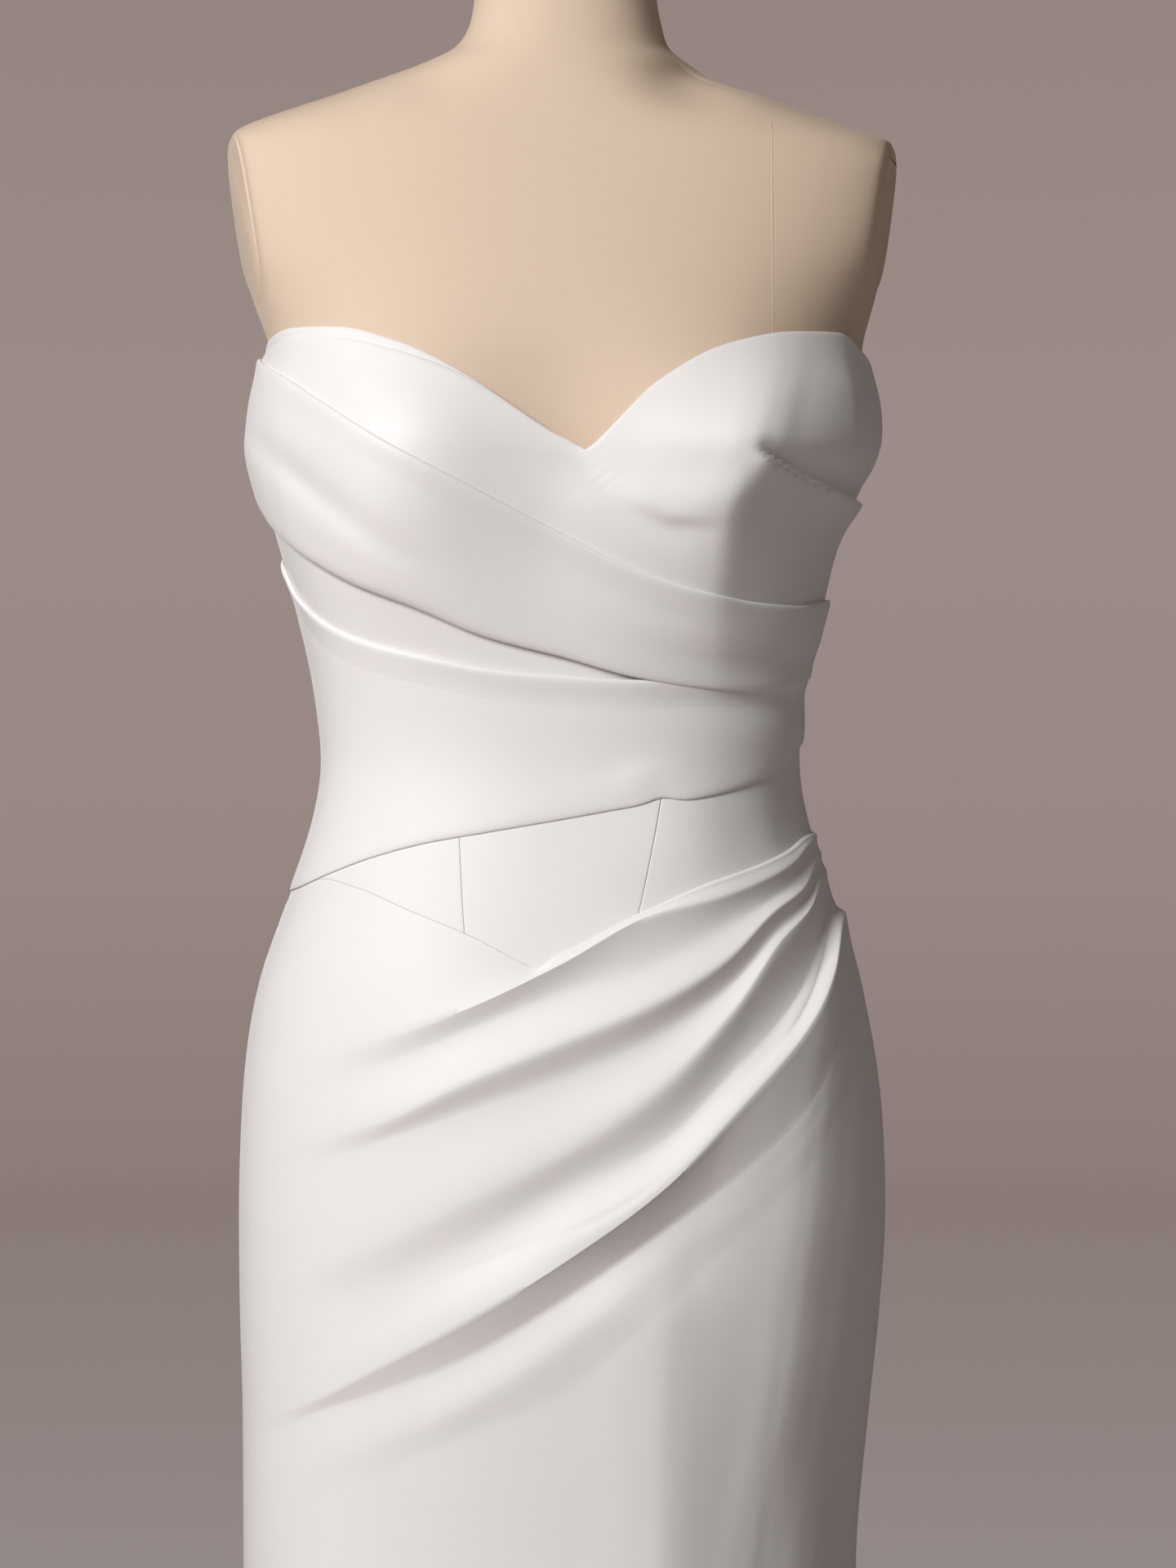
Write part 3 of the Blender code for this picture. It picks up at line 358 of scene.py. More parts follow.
class Wiring:
    """Adds and joins nodes in one node tree."""

    def __init__(self, tree: bpy.types.NodeTree) -> None:
        """Start on an empty tree."""
        self.tree = tree
        tree.nodes.clear()

    def add(self, kind: str, inputs: dict | None = None, **settings: object) -> bpy.types.Node:
        """Add a node.

        Args:
            kind: the node's type name.
            inputs: values or output sockets for its inputs, by name or number.
            settings: the node's own properties.

        Returns:
            The new node.
        """
        node = self.tree.nodes.new(kind)
        for name, value in settings.items():
            setattr(node, name, value)
        for name, value in (inputs or {}).items():
            if isinstance(value, bpy.types.NodeSocket):
                self.tree.links.new(value, node.inputs[name])
            else:
                node.inputs[name].default_value = value
        return node

    def math(self, operation: str, first: object, second: object = 0.0) -> bpy.types.NodeSocket:
        """The output of a Math node."""
        return self.add("ShaderNodeMath", {0: first, 1: second}, operation=operation).outputs[0]

    def mix(self, share: object, first: object, second: object) -> bpy.types.NodeSocket:
        """The colour a share of the way from first to second.

        Args:
            share: value or socket.
            first: red, green and blue, or a socket.
            second: the same of the other colour.

        Returns:
            The mixed colour's socket.
        """
        node = self.add("ShaderNodeMix", {"Factor": share}, data_type="RGBA")
        for socket, value in ((node.inputs[6], first), (node.inputs[7], second)):
            if isinstance(value, bpy.types.NodeSocket):
                self.tree.links.new(value, socket)
            else:
                socket.default_value = (*value, 1.0)
        return node.outputs[2]

    def noise(self, place: bpy.types.NodeSocket, scale: float, detail: float,
              roughness: float) -> bpy.types.NodeSocket:
        """The value of a Noise Texture node."""
        return self.add("ShaderNodeTexNoise", {"Vector": place, "Scale": scale, "Detail": detail,
                                               "Roughness": roughness}).outputs[0]


def new_group(name: str, inputs: dict[str, float | tuple]
              ) -> tuple[bpy.types.NodeTree, Wiring, bpy.types.Node]:
    """Start a shader node group that gives a height and a tone.

    Args:
        name: the group's name.
        inputs: each input and its default; a tuple makes a vector input.

    Returns:
        The tree, its wiring and its input node.
    """
    tree = bpy.data.node_groups.new(name, "ShaderNodeTree")
    for label, value in inputs.items():
        kind = "NodeSocketVector" if isinstance(value, tuple) else "NodeSocketFloat"
        socket = tree.interface.new_socket(label, in_out="INPUT", socket_type=kind)
        socket.default_value = value
    for label in ("Height", "Tone"):
        tree.interface.new_socket(label, in_out="OUTPUT", socket_type="NodeSocketFloat")
    wiring = Wiring(tree)
    return tree, wiring, wiring.add("NodeGroupInput")


def weave_group() -> bpy.types.NodeTree:
    """Long satin floats over a finer crepe grain. Its vector is in metres along the cloth.

    Returns:
        The group, which gives a height and a tone.
    """
    step_across, step_along = 0.6, 0.2       # how the floats step from thread to thread
    tree, wiring, given = new_group(
        "satin_weave", {"Along": (0.0, 0.0, 0.0), "Thread": 0.0004, "Grain": 0.5})
    split = wiring.add("ShaderNodeSeparateXYZ", {0: given.outputs["Along"]})
    turns = wiring.math("DIVIDE", 2 * math.pi, given.outputs["Thread"])
    warp = wiring.math("SINE", wiring.math("MULTIPLY", split.outputs["X"], turns))
    step = wiring.math("ADD", wiring.math("MULTIPLY", split.outputs["Y"], step_along),
                       wiring.math("MULTIPLY", split.outputs["X"], step_across))
    float_line = wiring.math("SINE", wiring.math("MULTIPLY", step, turns))
    weave = wiring.math("MULTIPLY", warp, float_line)
    grain = wiring.noise(given.outputs["Along"], scale=1400.0, detail=2.0, roughness=0.6)
    crepe = wiring.math("SUBTRACT", wiring.math("MULTIPLY", grain, 2.0), 1.0)
    mixed = wiring.add("ShaderNodeMix", {"Factor": given.outputs["Grain"], 2: weave, 3: crepe},
                       data_type="FLOAT").outputs[0]
    height = wiring.math("ADD", wiring.math("MULTIPLY", mixed, 0.5), 0.5)
    cloud = wiring.noise(given.outputs["Along"], scale=9.0, detail=3.0, roughness=0.55)
    wiring.add("NodeGroupOutput", {"Height": height, "Tone": cloud})
    return tree


def knit_group() -> bpy.types.NodeTree:
    """Fine columns of knitted stitches. Its vector is in metres along the cloth.

    Returns:
        The group, which gives a height and a tone.
    """
    rows_to_column, lean = 1.3, 0.7          # how the stitches follow and lean
    rib_share, fuzz_share = 0.6, 0.5
    tree, wiring, given = new_group("jersey_knit", {"Along": (0.0, 0.0, 0.0), "Stitch": 0.0009})
    split = wiring.add("ShaderNodeSeparateXYZ", {0: given.outputs["Along"]})
    turns = wiring.math("DIVIDE", 2 * math.pi, given.outputs["Stitch"])
    column = wiring.math("MULTIPLY", split.outputs["X"], turns)
    wave = wiring.math("SINE", wiring.math("MULTIPLY", split.outputs["Y"],
                                           wiring.math("MULTIPLY", turns, rows_to_column)))
    leaning = wiring.math("ADD", column, wiring.math("MULTIPLY", wave, lean))
    rib = wiring.math("ABSOLUTE", wiring.math("SINE", wiring.math("MULTIPLY", leaning, 0.5)))
    fuzz = wiring.noise(given.outputs["Along"], scale=1100.0, detail=3.0, roughness=0.65)
    height = wiring.math("ADD", wiring.math("MULTIPLY", rib, rib_share),
                         wiring.math("MULTIPLY", fuzz, fuzz_share))
    cloud = wiring.noise(given.outputs["Along"], scale=14.0, detail=4.0, roughness=0.6)
    wiring.add("NodeGroupOutput", {"Height": height, "Tone": cloud})
    return tree


def brushing_group() -> bpy.types.NodeTree:
    """Fine scratches that run round a turned piece, and soft smears over them.

    Returns:
        The group, which gives a height and a tone.
    """
    grain_per_turn = 0.004                   # low, so that the scratches run round
    tree, wiring, given = new_group("turned_brushing", {"Place": (0.0, 0.0, 0.0), "Fineness": 1.0})
    split = wiring.add("ShaderNodeSeparateXYZ", {0: given.outputs["Place"]})
    across = wiring.math("MULTIPLY", split.outputs["X"], split.outputs["X"])
    deep = wiring.math("MULTIPLY", split.outputs["Y"], split.outputs["Y"])
    radius = wiring.math("SQRT", wiring.math("ADD", across, deep))
    turn = wiring.math("ARCTAN2", split.outputs["Y"], split.outputs["X"])
    place = wiring.add("ShaderNodeCombineXYZ", {
        0: wiring.math("MULTIPLY", radius, given.outputs["Fineness"]),
        1: wiring.math("MULTIPLY", turn, grain_per_turn),
        2: wiring.math("MULTIPLY", split.outputs["Z"], given.outputs["Fineness"])})
    lines = wiring.noise(place.outputs[0], scale=1800.0, detail=3.0, roughness=0.7)
    smear = wiring.noise(given.outputs["Place"], scale=22.0, detail=4.0, roughness=0.6)
    wiring.add("NodeGroupOutput", {"Height": lines, "Tone": smear})
    return tree


@dataclass(frozen=True)
class TonedFinish:
    """What every finish has: two tones, a range of roughness and a fine bump."""

    TONES = (0.3, 0.7)                   # the tones between which the roughness changes

    name: str
    light: Colour
    deep: Colour
    roughness: tuple[float, float]
    bump: float
    bump_depth: float

    def started(self, group: bpy.types.NodeTree
                ) -> tuple[bpy.types.Material, Wiring, bpy.types.Node]:
        """Start the material.

        Args:
            group: the pattern's group.

        Returns:
            The material, its wiring and the group's node.
        """
        material = bpy.data.materials.new(self.name)
        material.use_nodes = True
        wiring = Wiring(material.node_tree)
        return material, wiring, wiring.add("ShaderNodeGroup", node_tree=group)

    def toned(self, wiring: Wiring, pattern: bpy.types.Node) -> dict[str, bpy.types.NodeSocket]:
        """Colour, roughness and bump for the shader, from the group's tone and height.

        Args:
            wiring: the material's wiring.
            pattern: the group's node.

        Returns:
            Values for the shader's inputs.
        """
        rough = wiring.add("ShaderNodeMapRange", {
            "Value": pattern.outputs["Tone"], "From Min": self.TONES[0],
            "From Max": self.TONES[1], "To Min": self.roughness[0], "To Max": self.roughness[1]})
        bump = wiring.add("ShaderNodeBump", {"Height": pattern.outputs["Height"],
                                             "Strength": self.bump, "Distance": self.bump_depth})
        return {"Base Color": wiring.mix(pattern.outputs["Tone"], self.deep, self.light),
                "Roughness": rough.outputs[0], "Normal": bump.outputs[0]}


@dataclass(frozen=True)
class ClothFinish(TonedFinish):
    """A cloth whose weave or knit follows the piece's own map."""

    group_values: tuple[tuple[str, float], ...]
    sheen: float
    sheen_roughness: float = 0.4
    specular: float = 0.5

    def material(self, group: bpy.types.NodeTree) -> bpy.types.Material:
        """Build the material.

        Args:
            group: the weave or knit group, built once.

        Returns:
            The new material.
        """
        material, wiring, cloth = self.started(group)
        place = wiring.add("ShaderNodeUVMap", uv_map=ClothGrid.MAP)
        wiring.tree.links.new(place.outputs[0], cloth.inputs["Along"])
        for label, value in self.group_values:
            cloth.inputs[label].default_value = value
        shader = wiring.add("ShaderNodeBsdfPrincipled", {
            **self.toned(wiring, cloth), "Sheen Weight": self.sheen,
            "Sheen Roughness": self.sheen_roughness, "Specular IOR Level": self.specular})
        wiring.add("ShaderNodeOutputMaterial", {"Surface": shader.outputs[0]})
        return material


@dataclass(frozen=True)
class MetalFinish(TonedFinish):
    """A brushed or polished metal."""

    fineness: float

    def material(self, group: bpy.types.NodeTree) -> bpy.types.Material:
        """Build the material.

        Args:
            group: the brushing group, built once.

        Returns:
            The new material.
        """
        material, wiring, metal = self.started(group)
        place = wiring.add("ShaderNodeTexCoord")
        wiring.tree.links.new(place.outputs["Object"], metal.inputs["Place"])
        metal.inputs["Fineness"].default_value = self.fineness
        shader = wiring.add("ShaderNodeBsdfPrincipled",
                            {**self.toned(wiring, metal), "Metallic": 1.0})
        wiring.add("ShaderNodeOutputMaterial", {"Surface": shader.outputs[0]})
        return material


CREPE_SATIN = ClothFinish(
    "ivory_crepe_satin", light=(0.872, 0.854, 0.842), deep=(0.850, 0.830, 0.818),
    roughness=(0.52, 0.62), bump=0.25, bump_depth=0.00005, sheen=0.06,
    group_values=(("Thread", 0.0004), ("Grain", 0.55)))
KNIT_JERSEY = ClothFinish(
    "beige_knit_jersey", light=(0.735, 0.590, 0.455), deep=(0.700, 0.555, 0.420),
    roughness=(0.78, 0.90), bump=0.35, bump_depth=0.00012, sheen=0.12,
    group_values=(("Stitch", 0.0009),))
BRUSHED_STEEL = MetalFinish(
    "brushed_steel", light=(0.64, 0.63, 0.61), deep=(0.52, 0.51, 0.50),
    roughness=(0.26, 0.40), bump=0.25, bump_depth=0.00006, fineness=1.0)
POLISHED_NICKEL = MetalFinish(
    "polished_nickel", light=(0.80, 0.79, 0.76), deep=(0.70, 0.69, 0.66),
    roughness=(0.16, 0.28), bump=0.10, bump_depth=0.00006, fineness=2.0)


class Wardrobe:
    """Holds each material, made once."""

    def __init__(self) -> None:
        """Build the shared groups and the four materials."""
        brushing = brushing_group()
        self.materials = {
            Finish.SATIN: CREPE_SATIN.material(weave_group()),
            Finish.JERSEY: KNIT_JERSEY.material(knit_group()),
            Finish.STEEL: BRUSHED_STEEL.material(brushing),
            Finish.NICKEL: POLISHED_NICKEL.material(brushing),
        }

    def dress(self, piece: bpy.types.Object, finish: Finish) -> None:
        """Give a piece its material.

        Args:
            piece: the piece.
            finish: which of the four.
        """
        piece.data.materials.clear()
        piece.data.materials.append(self.materials[finish])


# ---------------------------------------------------------------------------
# Cloth grids
# ---------------------------------------------------------------------------

MERGED = 0.00001                 # points closer than this become one, in metres
GRID_HALF = 0.5                  # half the side of a grid before its points are placed


def finish_object(name: str, bm: bmesh.types.BMesh, sharp_from: float = 40.0) -> bpy.types.Object:
    """Make an object of a bmesh.

    Args:
        name: the piece's name.
        bm: its mesh, which is freed.
        sharp_from: edges that turn more than this many degrees stay sharp.

    Returns:
        The new object, at the origin.
    """
    mesh = bpy.data.meshes.new(name)
    bm.to_mesh(mesh)
    bm.free()
    mesh.shade_smooth()
    mesh.set_sharp_from_angle(angle=math.radians(sharp_from))
    piece = bpy.data.objects.new(name, mesh)
    bpy.context.scene.collection.objects.link(piece)
    return piece


def run_length(places: np.ndarray, axis: int) -> np.ndarray:
    """Metres along the surface from the first point of each row (axis 1) or column (axis 0)."""
    first = np.take(places, [0], axis=axis)
    return np.cumsum(np.linalg.norm(np.diff(places, axis=axis, prepend=first), axis=2), axis=axis)


def laid_grid(places: np.ndarray, flat: np.ndarray) -> bmesh.types.BMesh:
    """Make a grid of quads.

    Args:
        places: rows of points.
        flat: each point's place in the map, in metres.

    Returns:
        Its mesh.
    """
    rows, columns = places.shape[:2]
    bm = bmesh.new()
    bmesh.ops.create_grid(bm, x_segments=columns - 1, y_segments=rows - 1,
                           size=GRID_HALF)
    cloth_map = bm.loops.layers.uv.new(ClothGrid.MAP)
    spots = {}
    for vert in bm.verts:
        column = round((vert.co.x + GRID_HALF) * (columns - 1))
        row = round((GRID_HALF - vert.co.y) * (rows - 1))
        spots[vert] = flat[row, column]
        vert.co = places[row, column]
    for face in bm.faces:
        for loop in face.loops:
            loop[cloth_map].uv = spots[loop.vert]
    return bm


def closed_tube(places: np.ndarray) -> bmesh.types.BMesh:
    """Make a closed tube, with a flat cap at each end.

    Args:
        places: rows of points, each row one turn without its first point again.

    Returns:
        Its mesh, with a map in metres along the surface.
    """
    middle = places.shape[1] // 2
    ring = np.concatenate((places, places[:, :1]), axis=1)
    along = run_length(ring, axis=1)
    along -= along[:, middle:middle + 1]
    bm = laid_grid(ring[::-1], np.stack((along, ring[..., 2]), axis=-1)[::-1])
    bmesh.ops.remove_doubles(bm, verts=bm.verts, dist=MERGED)
    rims = [edge for edge in bm.edges if edge.is_boundary]
    bmesh.ops.holes_fill(bm, edges=rims, sides=0)
    bmesh.ops.recalc_face_normals(bm, faces=bm.faces)
    return bm


@dataclass
class ClothGrid:
    """A wall of cloth laid on the figure by rows and columns."""

    MAP = "cloth"

    name: str
    angles: np.ndarray                   # rows x columns, degrees
    heights: np.ndarray                  # rows x columns, mm
    outers: np.ndarray                   # rows x columns, mm off the figure
    wall: float = 0.0006

    def build(self, figure: Figure = FIGURE) -> bpy.types.Object:
        """Make the grid, move its points to their places and give it a wall.

        Args:
            figure: the body shape it is laid on.

        Returns:
            The new piece.
        """
        places = figure.points(self.angles, self.heights * MM, self.outers * MM)
        along, down = run_length(places, axis=1), run_length(places, axis=0)
        middle = int(np.argmin(np.abs(self.angles[0])))
        along -= along[:, middle:middle + 1]
        piece = finish_object(self.name, laid_grid(places, np.stack((along, -down), axis=-1)))
        wall = piece.modifiers.new("Wall", "SOLIDIFY")
        wall.thickness = self.wall
        wall.offset = -1.0
        wall.use_even_offset = False
        wall.use_quality_normals = True
        return piece


@dataclass(frozen=True)
class SoftFold:
    """A soft ridge or trough that runs along a line of the cloth."""

    line: Table                          # angle, height in mm
    rise: Table                          # angle, mm outward; under zero for a trough
    above: float                         # mm over which it dies out upward
    below: float                         # mm over which it dies out downward

    def relief(self, angle: np.ndarray, height: np.ndarray) -> np.ndarray:
        """How far the fold moves the cloth outward, in mm.

        Args:
            angle: degrees round the figure.
            height: mm.

        Returns:
            The rise at each place.
        """
        away = height - Curve(self.line)(angle)
        reach = np.where(away > 0, self.above, self.below)
        return Curve(self.rise)(angle) * np.exp(-0.5 * (away / reach) ** 2)


SIDE = 90.0
CENTRE_BACK = 180.0
SEAM_HALF = 0.015                # degrees from a seam's middle to the cloth's edge
SIDE_EASE = 7.0                  # degrees over which the layers close up to the side seam
SIDE_CLOSE = 0.7                 # share of their rise that they lose there
SIDE_CLOSE_FOOT = 640.0          # mm; below this height they keep all of it
SIDE_CLOSE_FADE = 100.0          # mm over which that loss grows upward
COLUMN_STEP = 1.25
EDGE_COLUMNS = (0.25, 0.6, 1.2)  # degrees in from a cut edge
SEAM_TURN = 0.6                  # degrees over which a sewn edge turns in to its seam
SEAM_SINK = 0.11                 # mm that a sewn edge sinks at its seam

BODY = 2.0                       # outer face of cloth on the form, mm
SECOND = 4.0
THIRD = 6.0
LIP_REACH = 16.0                 # mm from a folded edge to the cloth's own level
NECK_LIP_REACH = 5.0             # the same of a neck edge
NECK_LIP_SIZE = 0.5              # how high a neck edge's lip is, against the plain one
NECK_LIP_SINK = 0.5              # mm that a neck edge lies under the cloth's own level

# Shape of a folded edge: mm back from the edge along the cloth, mm off its own level
LIP_EDGE = ((9.0, -1.5), (3.5, -1.6), (1.4, -1.45), (0.5, -1.1), (0.1, -0.65), (0.0, -0.15),
            (0.25, 0.3), (0.8, 0.65), (1.7, 0.9), (3.0, 1.0), (5.0, 0.9), (8.0, 0.6),
            (10.0, 0.42), (12.0, 0.25), (14.0, 0.1), (16.0, 0.0))
ROLLED_EDGE = ((9.0, -2.2), (3.5, -2.3), (1.2, -2.25), (0.35, -1.95), (0.0, -1.5), (0.25, -1.1),
               (0.9, -0.72), (2.0, -0.4), (3.6, -0.18), (6.0, -0.04), (10.0, 0.0), (16.0, 0.0))


def columns_between(start: float, end: float, step: float = COLUMN_STEP) -> np.ndarray:
    """Angles from one cut edge to the other, closer together at both edges.

    Args:
        start: first edge, in degrees.
        end: last edge, in degrees.
        step: degrees between two columns in the middle.

    Returns:
        The angles of the columns.
    """
    count = max(2, round((end - start - 2 * EDGE_COLUMNS[-1]) / step))
    inner = np.linspace(start + EDGE_COLUMNS[-1], end - EDGE_COLUMNS[-1], count)
    lead = [start, *(start + far for far in EDGE_COLUMNS[:-1])]
    tail = [*(end - far for far in reversed(EDGE_COLUMNS[:-1])), end]
    return np.array([*lead, *inner, *tail])


@dataclass
class Rows:
    """Collects a panel's rows from its top to its foot."""

    columns: np.ndarray
    heights: list[np.ndarray] = field(default_factory=list)
    outers: list[np.ndarray] = field(default_factory=list)

    def add(self, height: np.ndarray | float, outer: np.ndarray | float) -> None:
        """Add one row of heights and outer faces, in mm."""
        self.heights.append(np.broadcast_to(height, self.columns.shape).astype(float))
        self.outers.append(np.broadcast_to(outer, self.columns.shape).astype(float))

    def soften(self, passes: int) -> None:
        """Round every crest and hollow a little, by evening each row with its neighbours.

        Args:
            passes: how many times.
        """
        for _ in range(passes):
            outers = np.array(self.outers)
            outers[1:-1] = 0.25 * outers[:-2] + 0.5 * outers[1:-1] + 0.25 * outers[2:]
            self.outers = list(outers)

    def lip(self, edge: Line, base: Line, size: Line | float = 1.0,
            until: float = LIP_REACH) -> None:
        """Add the rows of a folded top edge that stands up as a lip.

        Args:
            edge: heights of the edge.
            base: the cloth's own level.
            size: how high the lip is, against the plain one.
            until: how far down from the edge the rows go on, in mm.
        """
        share = size(self.columns) if callable(size) else size
        for back, out in LIP_EDGE:
            if out < 0 or back <= until:
                lift = out * (share if out > 0 else 1.0)
                self.add(edge(self.columns) - back, base(self.columns) + lift)

    def neck_lip(self, edge: Line, base: float) -> None:
        """Add the rows of a neck edge, whose lip is low and short."""
        self.lip(edge, level(base - NECK_LIP_SINK), NECK_LIP_SIZE, until=NECK_LIP_REACH)

    def roll_under(self, edge: Line, base: Line, size: Line | float = 1.0) -> None:
        """Add the rows of a lower edge that rolls in to the body and is folded under.

        Args:
            edge: heights of the edge.
            base: the cloth's own level.
            size: how much it rolls, against the plain one.
        """
        share = size(self.columns) if callable(size) else size
        for back, out in reversed(ROLLED_EDGE):
            self.add(edge(self.columns) + back, base(self.columns) + out * share)

    def span(self, top: tuple[Line, Line], low: tuple[Line, Line], steps: int,
             shape: Callable[[float], np.ndarray] = ease) -> None:
        """Add rows from one line up to, and without, the next.

        Args:
            top: height and outer face of the upper line.
            low: the same of the lower line.
            steps: number of rows.
            shape: the outer face's share of the way at a share of the drop.
        """
        for index in range(steps):
            t = index / steps
            self.add(blend(top[0](self.columns), low[0](self.columns), t),
                     blend(top[1](self.columns), low[1](self.columns), shape(t)))

    def grid(self, name: str, folds: Sequence[SoftFold] = (),
             sew: tuple[bool, bool] = (True, True),
             relief: Relief | None = None, slant: Relief | None = None) -> ClothGrid:
        """Make the grid of cloth.

        Args:
            name: the piece's name.
            folds: soft folds to lay over it.
            sew: whether the first and last columns turn in to a seam.
            relief: any other relief, in mm, from angle and height.
            slant: turns a column's angle into its angle at a share of the way down.

        Returns:
            The grid, ready to build.
        """
        heights, outers = np.array(self.heights), np.array(self.outers)
        angles = np.broadcast_to(self.columns, heights.shape).astype(float)
        if slant:
            down = (heights[:1] - heights) / (heights[:1] - heights[-1:])
            angles = slant(angles, down)
        for fold in folds:
            outers = outers + fold.relief(angles, heights)
        if relief:
            outers = outers + relief(angles, heights)
        gathered = ease((SIDE_EASE + np.abs(angles) - SIDE) / SIDE_EASE)
        gathered = gathered * (np.abs(angles) < SIDE) * ease(
            (heights - SIDE_CLOSE_FOOT) / SIDE_CLOSE_FADE)
        outers = BODY + (outers - BODY) * (1 - SIDE_CLOSE * gathered)
        for sewn, edge in zip(sew, (angles[:, :1], angles[:, -1:])):
            if sewn:
                away = np.abs(angles - edge) / SEAM_TURN
                outers = outers - SEAM_SINK * np.clip(1 - away, 0, 1) ** 2
        return ClothGrid(name, angles, heights, outers)


def front_rows(end: float = SIDE - SEAM_HALF) -> Rows:
    """Rows for a front piece, which starts at the right side seam."""
    return Rows(columns_between(-SIDE + SEAM_HALF, end))


# ---------------------------------------------------------------------------
# Lines of the dress: heights in mm at these angles round the front
# ---------------------------------------------------------------------------

STATIONS = (-90, -75, -60, -45, -30, -15, 0, 15, 30, 45, 60, 75, 90)
BUST_TOP = (1305, 1300, 1291, 1275, 1253, 1231, 1206, 1185, 1175, 1170, 1169, 1172, 1174)
BUST_LOW = (1225, 1211, 1194, 1179, 1167, 1152, 1141, 1130, 1125, 1123, 1125, 1128, 1131)
WAIST_TOP = (1196, 1175, 1159, 1149, 1142, 1135, 1131, 1129, 1131, 1131, 1133, 1136, 1139)
WAIST_LOW = (1016, 1018, 1025, 1034, 1042, 1048, 1055, 1062, 1066, 1072, 1080, 1091, 1096)
V_ANGLE = 3.333
V_HEIGHT = 1249
NECK_RIGHT = ((-90, 1305), (-75, 1314), (-60, 1318), (-45, 1317), (-30, 1308), (-15, 1289),
              (V_ANGLE, V_HEIGHT))
NECK_LEFT = ((V_ANGLE, V_HEIGHT), (15, 1286), (30, 1307), (45, 1314), (60, 1315), (75, 1306),
             (90, 1298))
DRAPE_RIGHT = ((-90, 1302), (-75, 1308), (-60, 1313), (-45, 1311), (-30, 1303), (-15, 1288),
               (V_ANGLE, V_HEIGHT))
BASQUE_POINT = (-V_ANGLE, 976)
BASQUE_RIGHT = ((-90, 1008), (-75, 1017), (-60, 1023), (-45, 1018), (-30, 1007), (-15, 993),
                BASQUE_POINT)
BASQUE_LEFT = (BASQUE_POINT, (-1, 974), (V_ANGLE, 980), (9, 989), (15, 996), (30, 1009),
               (45, 1018), (60, 1024), (75, 1030), (90, 1030))
SKIRT_LEFT = (BASQUE_POINT, (0, 985), (V_ANGLE, 991), (9, 1000), (15, 1007.5), (30, 1022),
              (45, 1031), (60, 1039), (75, 1046.5), (90, 1048.5))
BACK_NECK = ((90, 1300), (110, 1292), (135, 1276), (160, 1262), (180, 1256))
BACK_PANELS = (("left", SIDE, CENTRE_BACK), ("right", -CENTRE_BACK, -SIDE))

# Shapes of the sewn edges: mm up from the seam, mm off the cloth's own level
BASQUE_EDGE = ((1.2, 0.0), (0.5, -0.02), (0.0, -0.10))
OVER_WAIST_SEAM = ((1.4, 0.0), (0.6, -0.12), (0.0, -0.4))
UNDER_WAIST_SEAM = ((0.0, -0.4), (-0.7, -0.12), (-1.6, 0.0))


def across_front(angle: np.ndarray | float) -> np.ndarray:
    """How far across the front an angle lies, from -1 to 1."""
    sine = np.sin(np.radians(np.asarray(angle, float)))
    return np.copysign(np.abs(sine) ** FIGURE.plan_power, sine)


def stations(values: Sequence[float]) -> Line:
    """A line through values at the stations, smooth as seen from the front."""
    curve = Curve(list(zip(across_front(STATIONS), values)))
    return lambda angle: curve(across_front(angle))


def split_line(right: Sequence[Sequence[float]], left: Sequence[Sequence[float]],
               at: float) -> Line:
    """A line with a corner, made of one curve to each side of it."""
    right_curve, left_curve = Curve(right), Curve(left)
    return lambda angle: np.where(np.asarray(angle) < at, right_curve(angle), left_curve(angle))


def slant_between(head: tuple[float, float], foot: tuple[float, float]) -> Relief:
    """A slant that leans a panel's columns from its seams' angles at the head to the foot's."""
    return lambda angle, down: blend(
        blend(head[0], head[1], (angle - foot[0]) / (foot[1] - foot[0])), angle, down)


# ---------------------------------------------------------------------------
# The dress
# ---------------------------------------------------------------------------

@dataclass
class Piece:
    """The facts of one finished piece."""

    node: str
    flat: tuple[float, float]
    area: float
    held: str
    rests_on: tuple[str, ...] = ("dress_form_torso",)


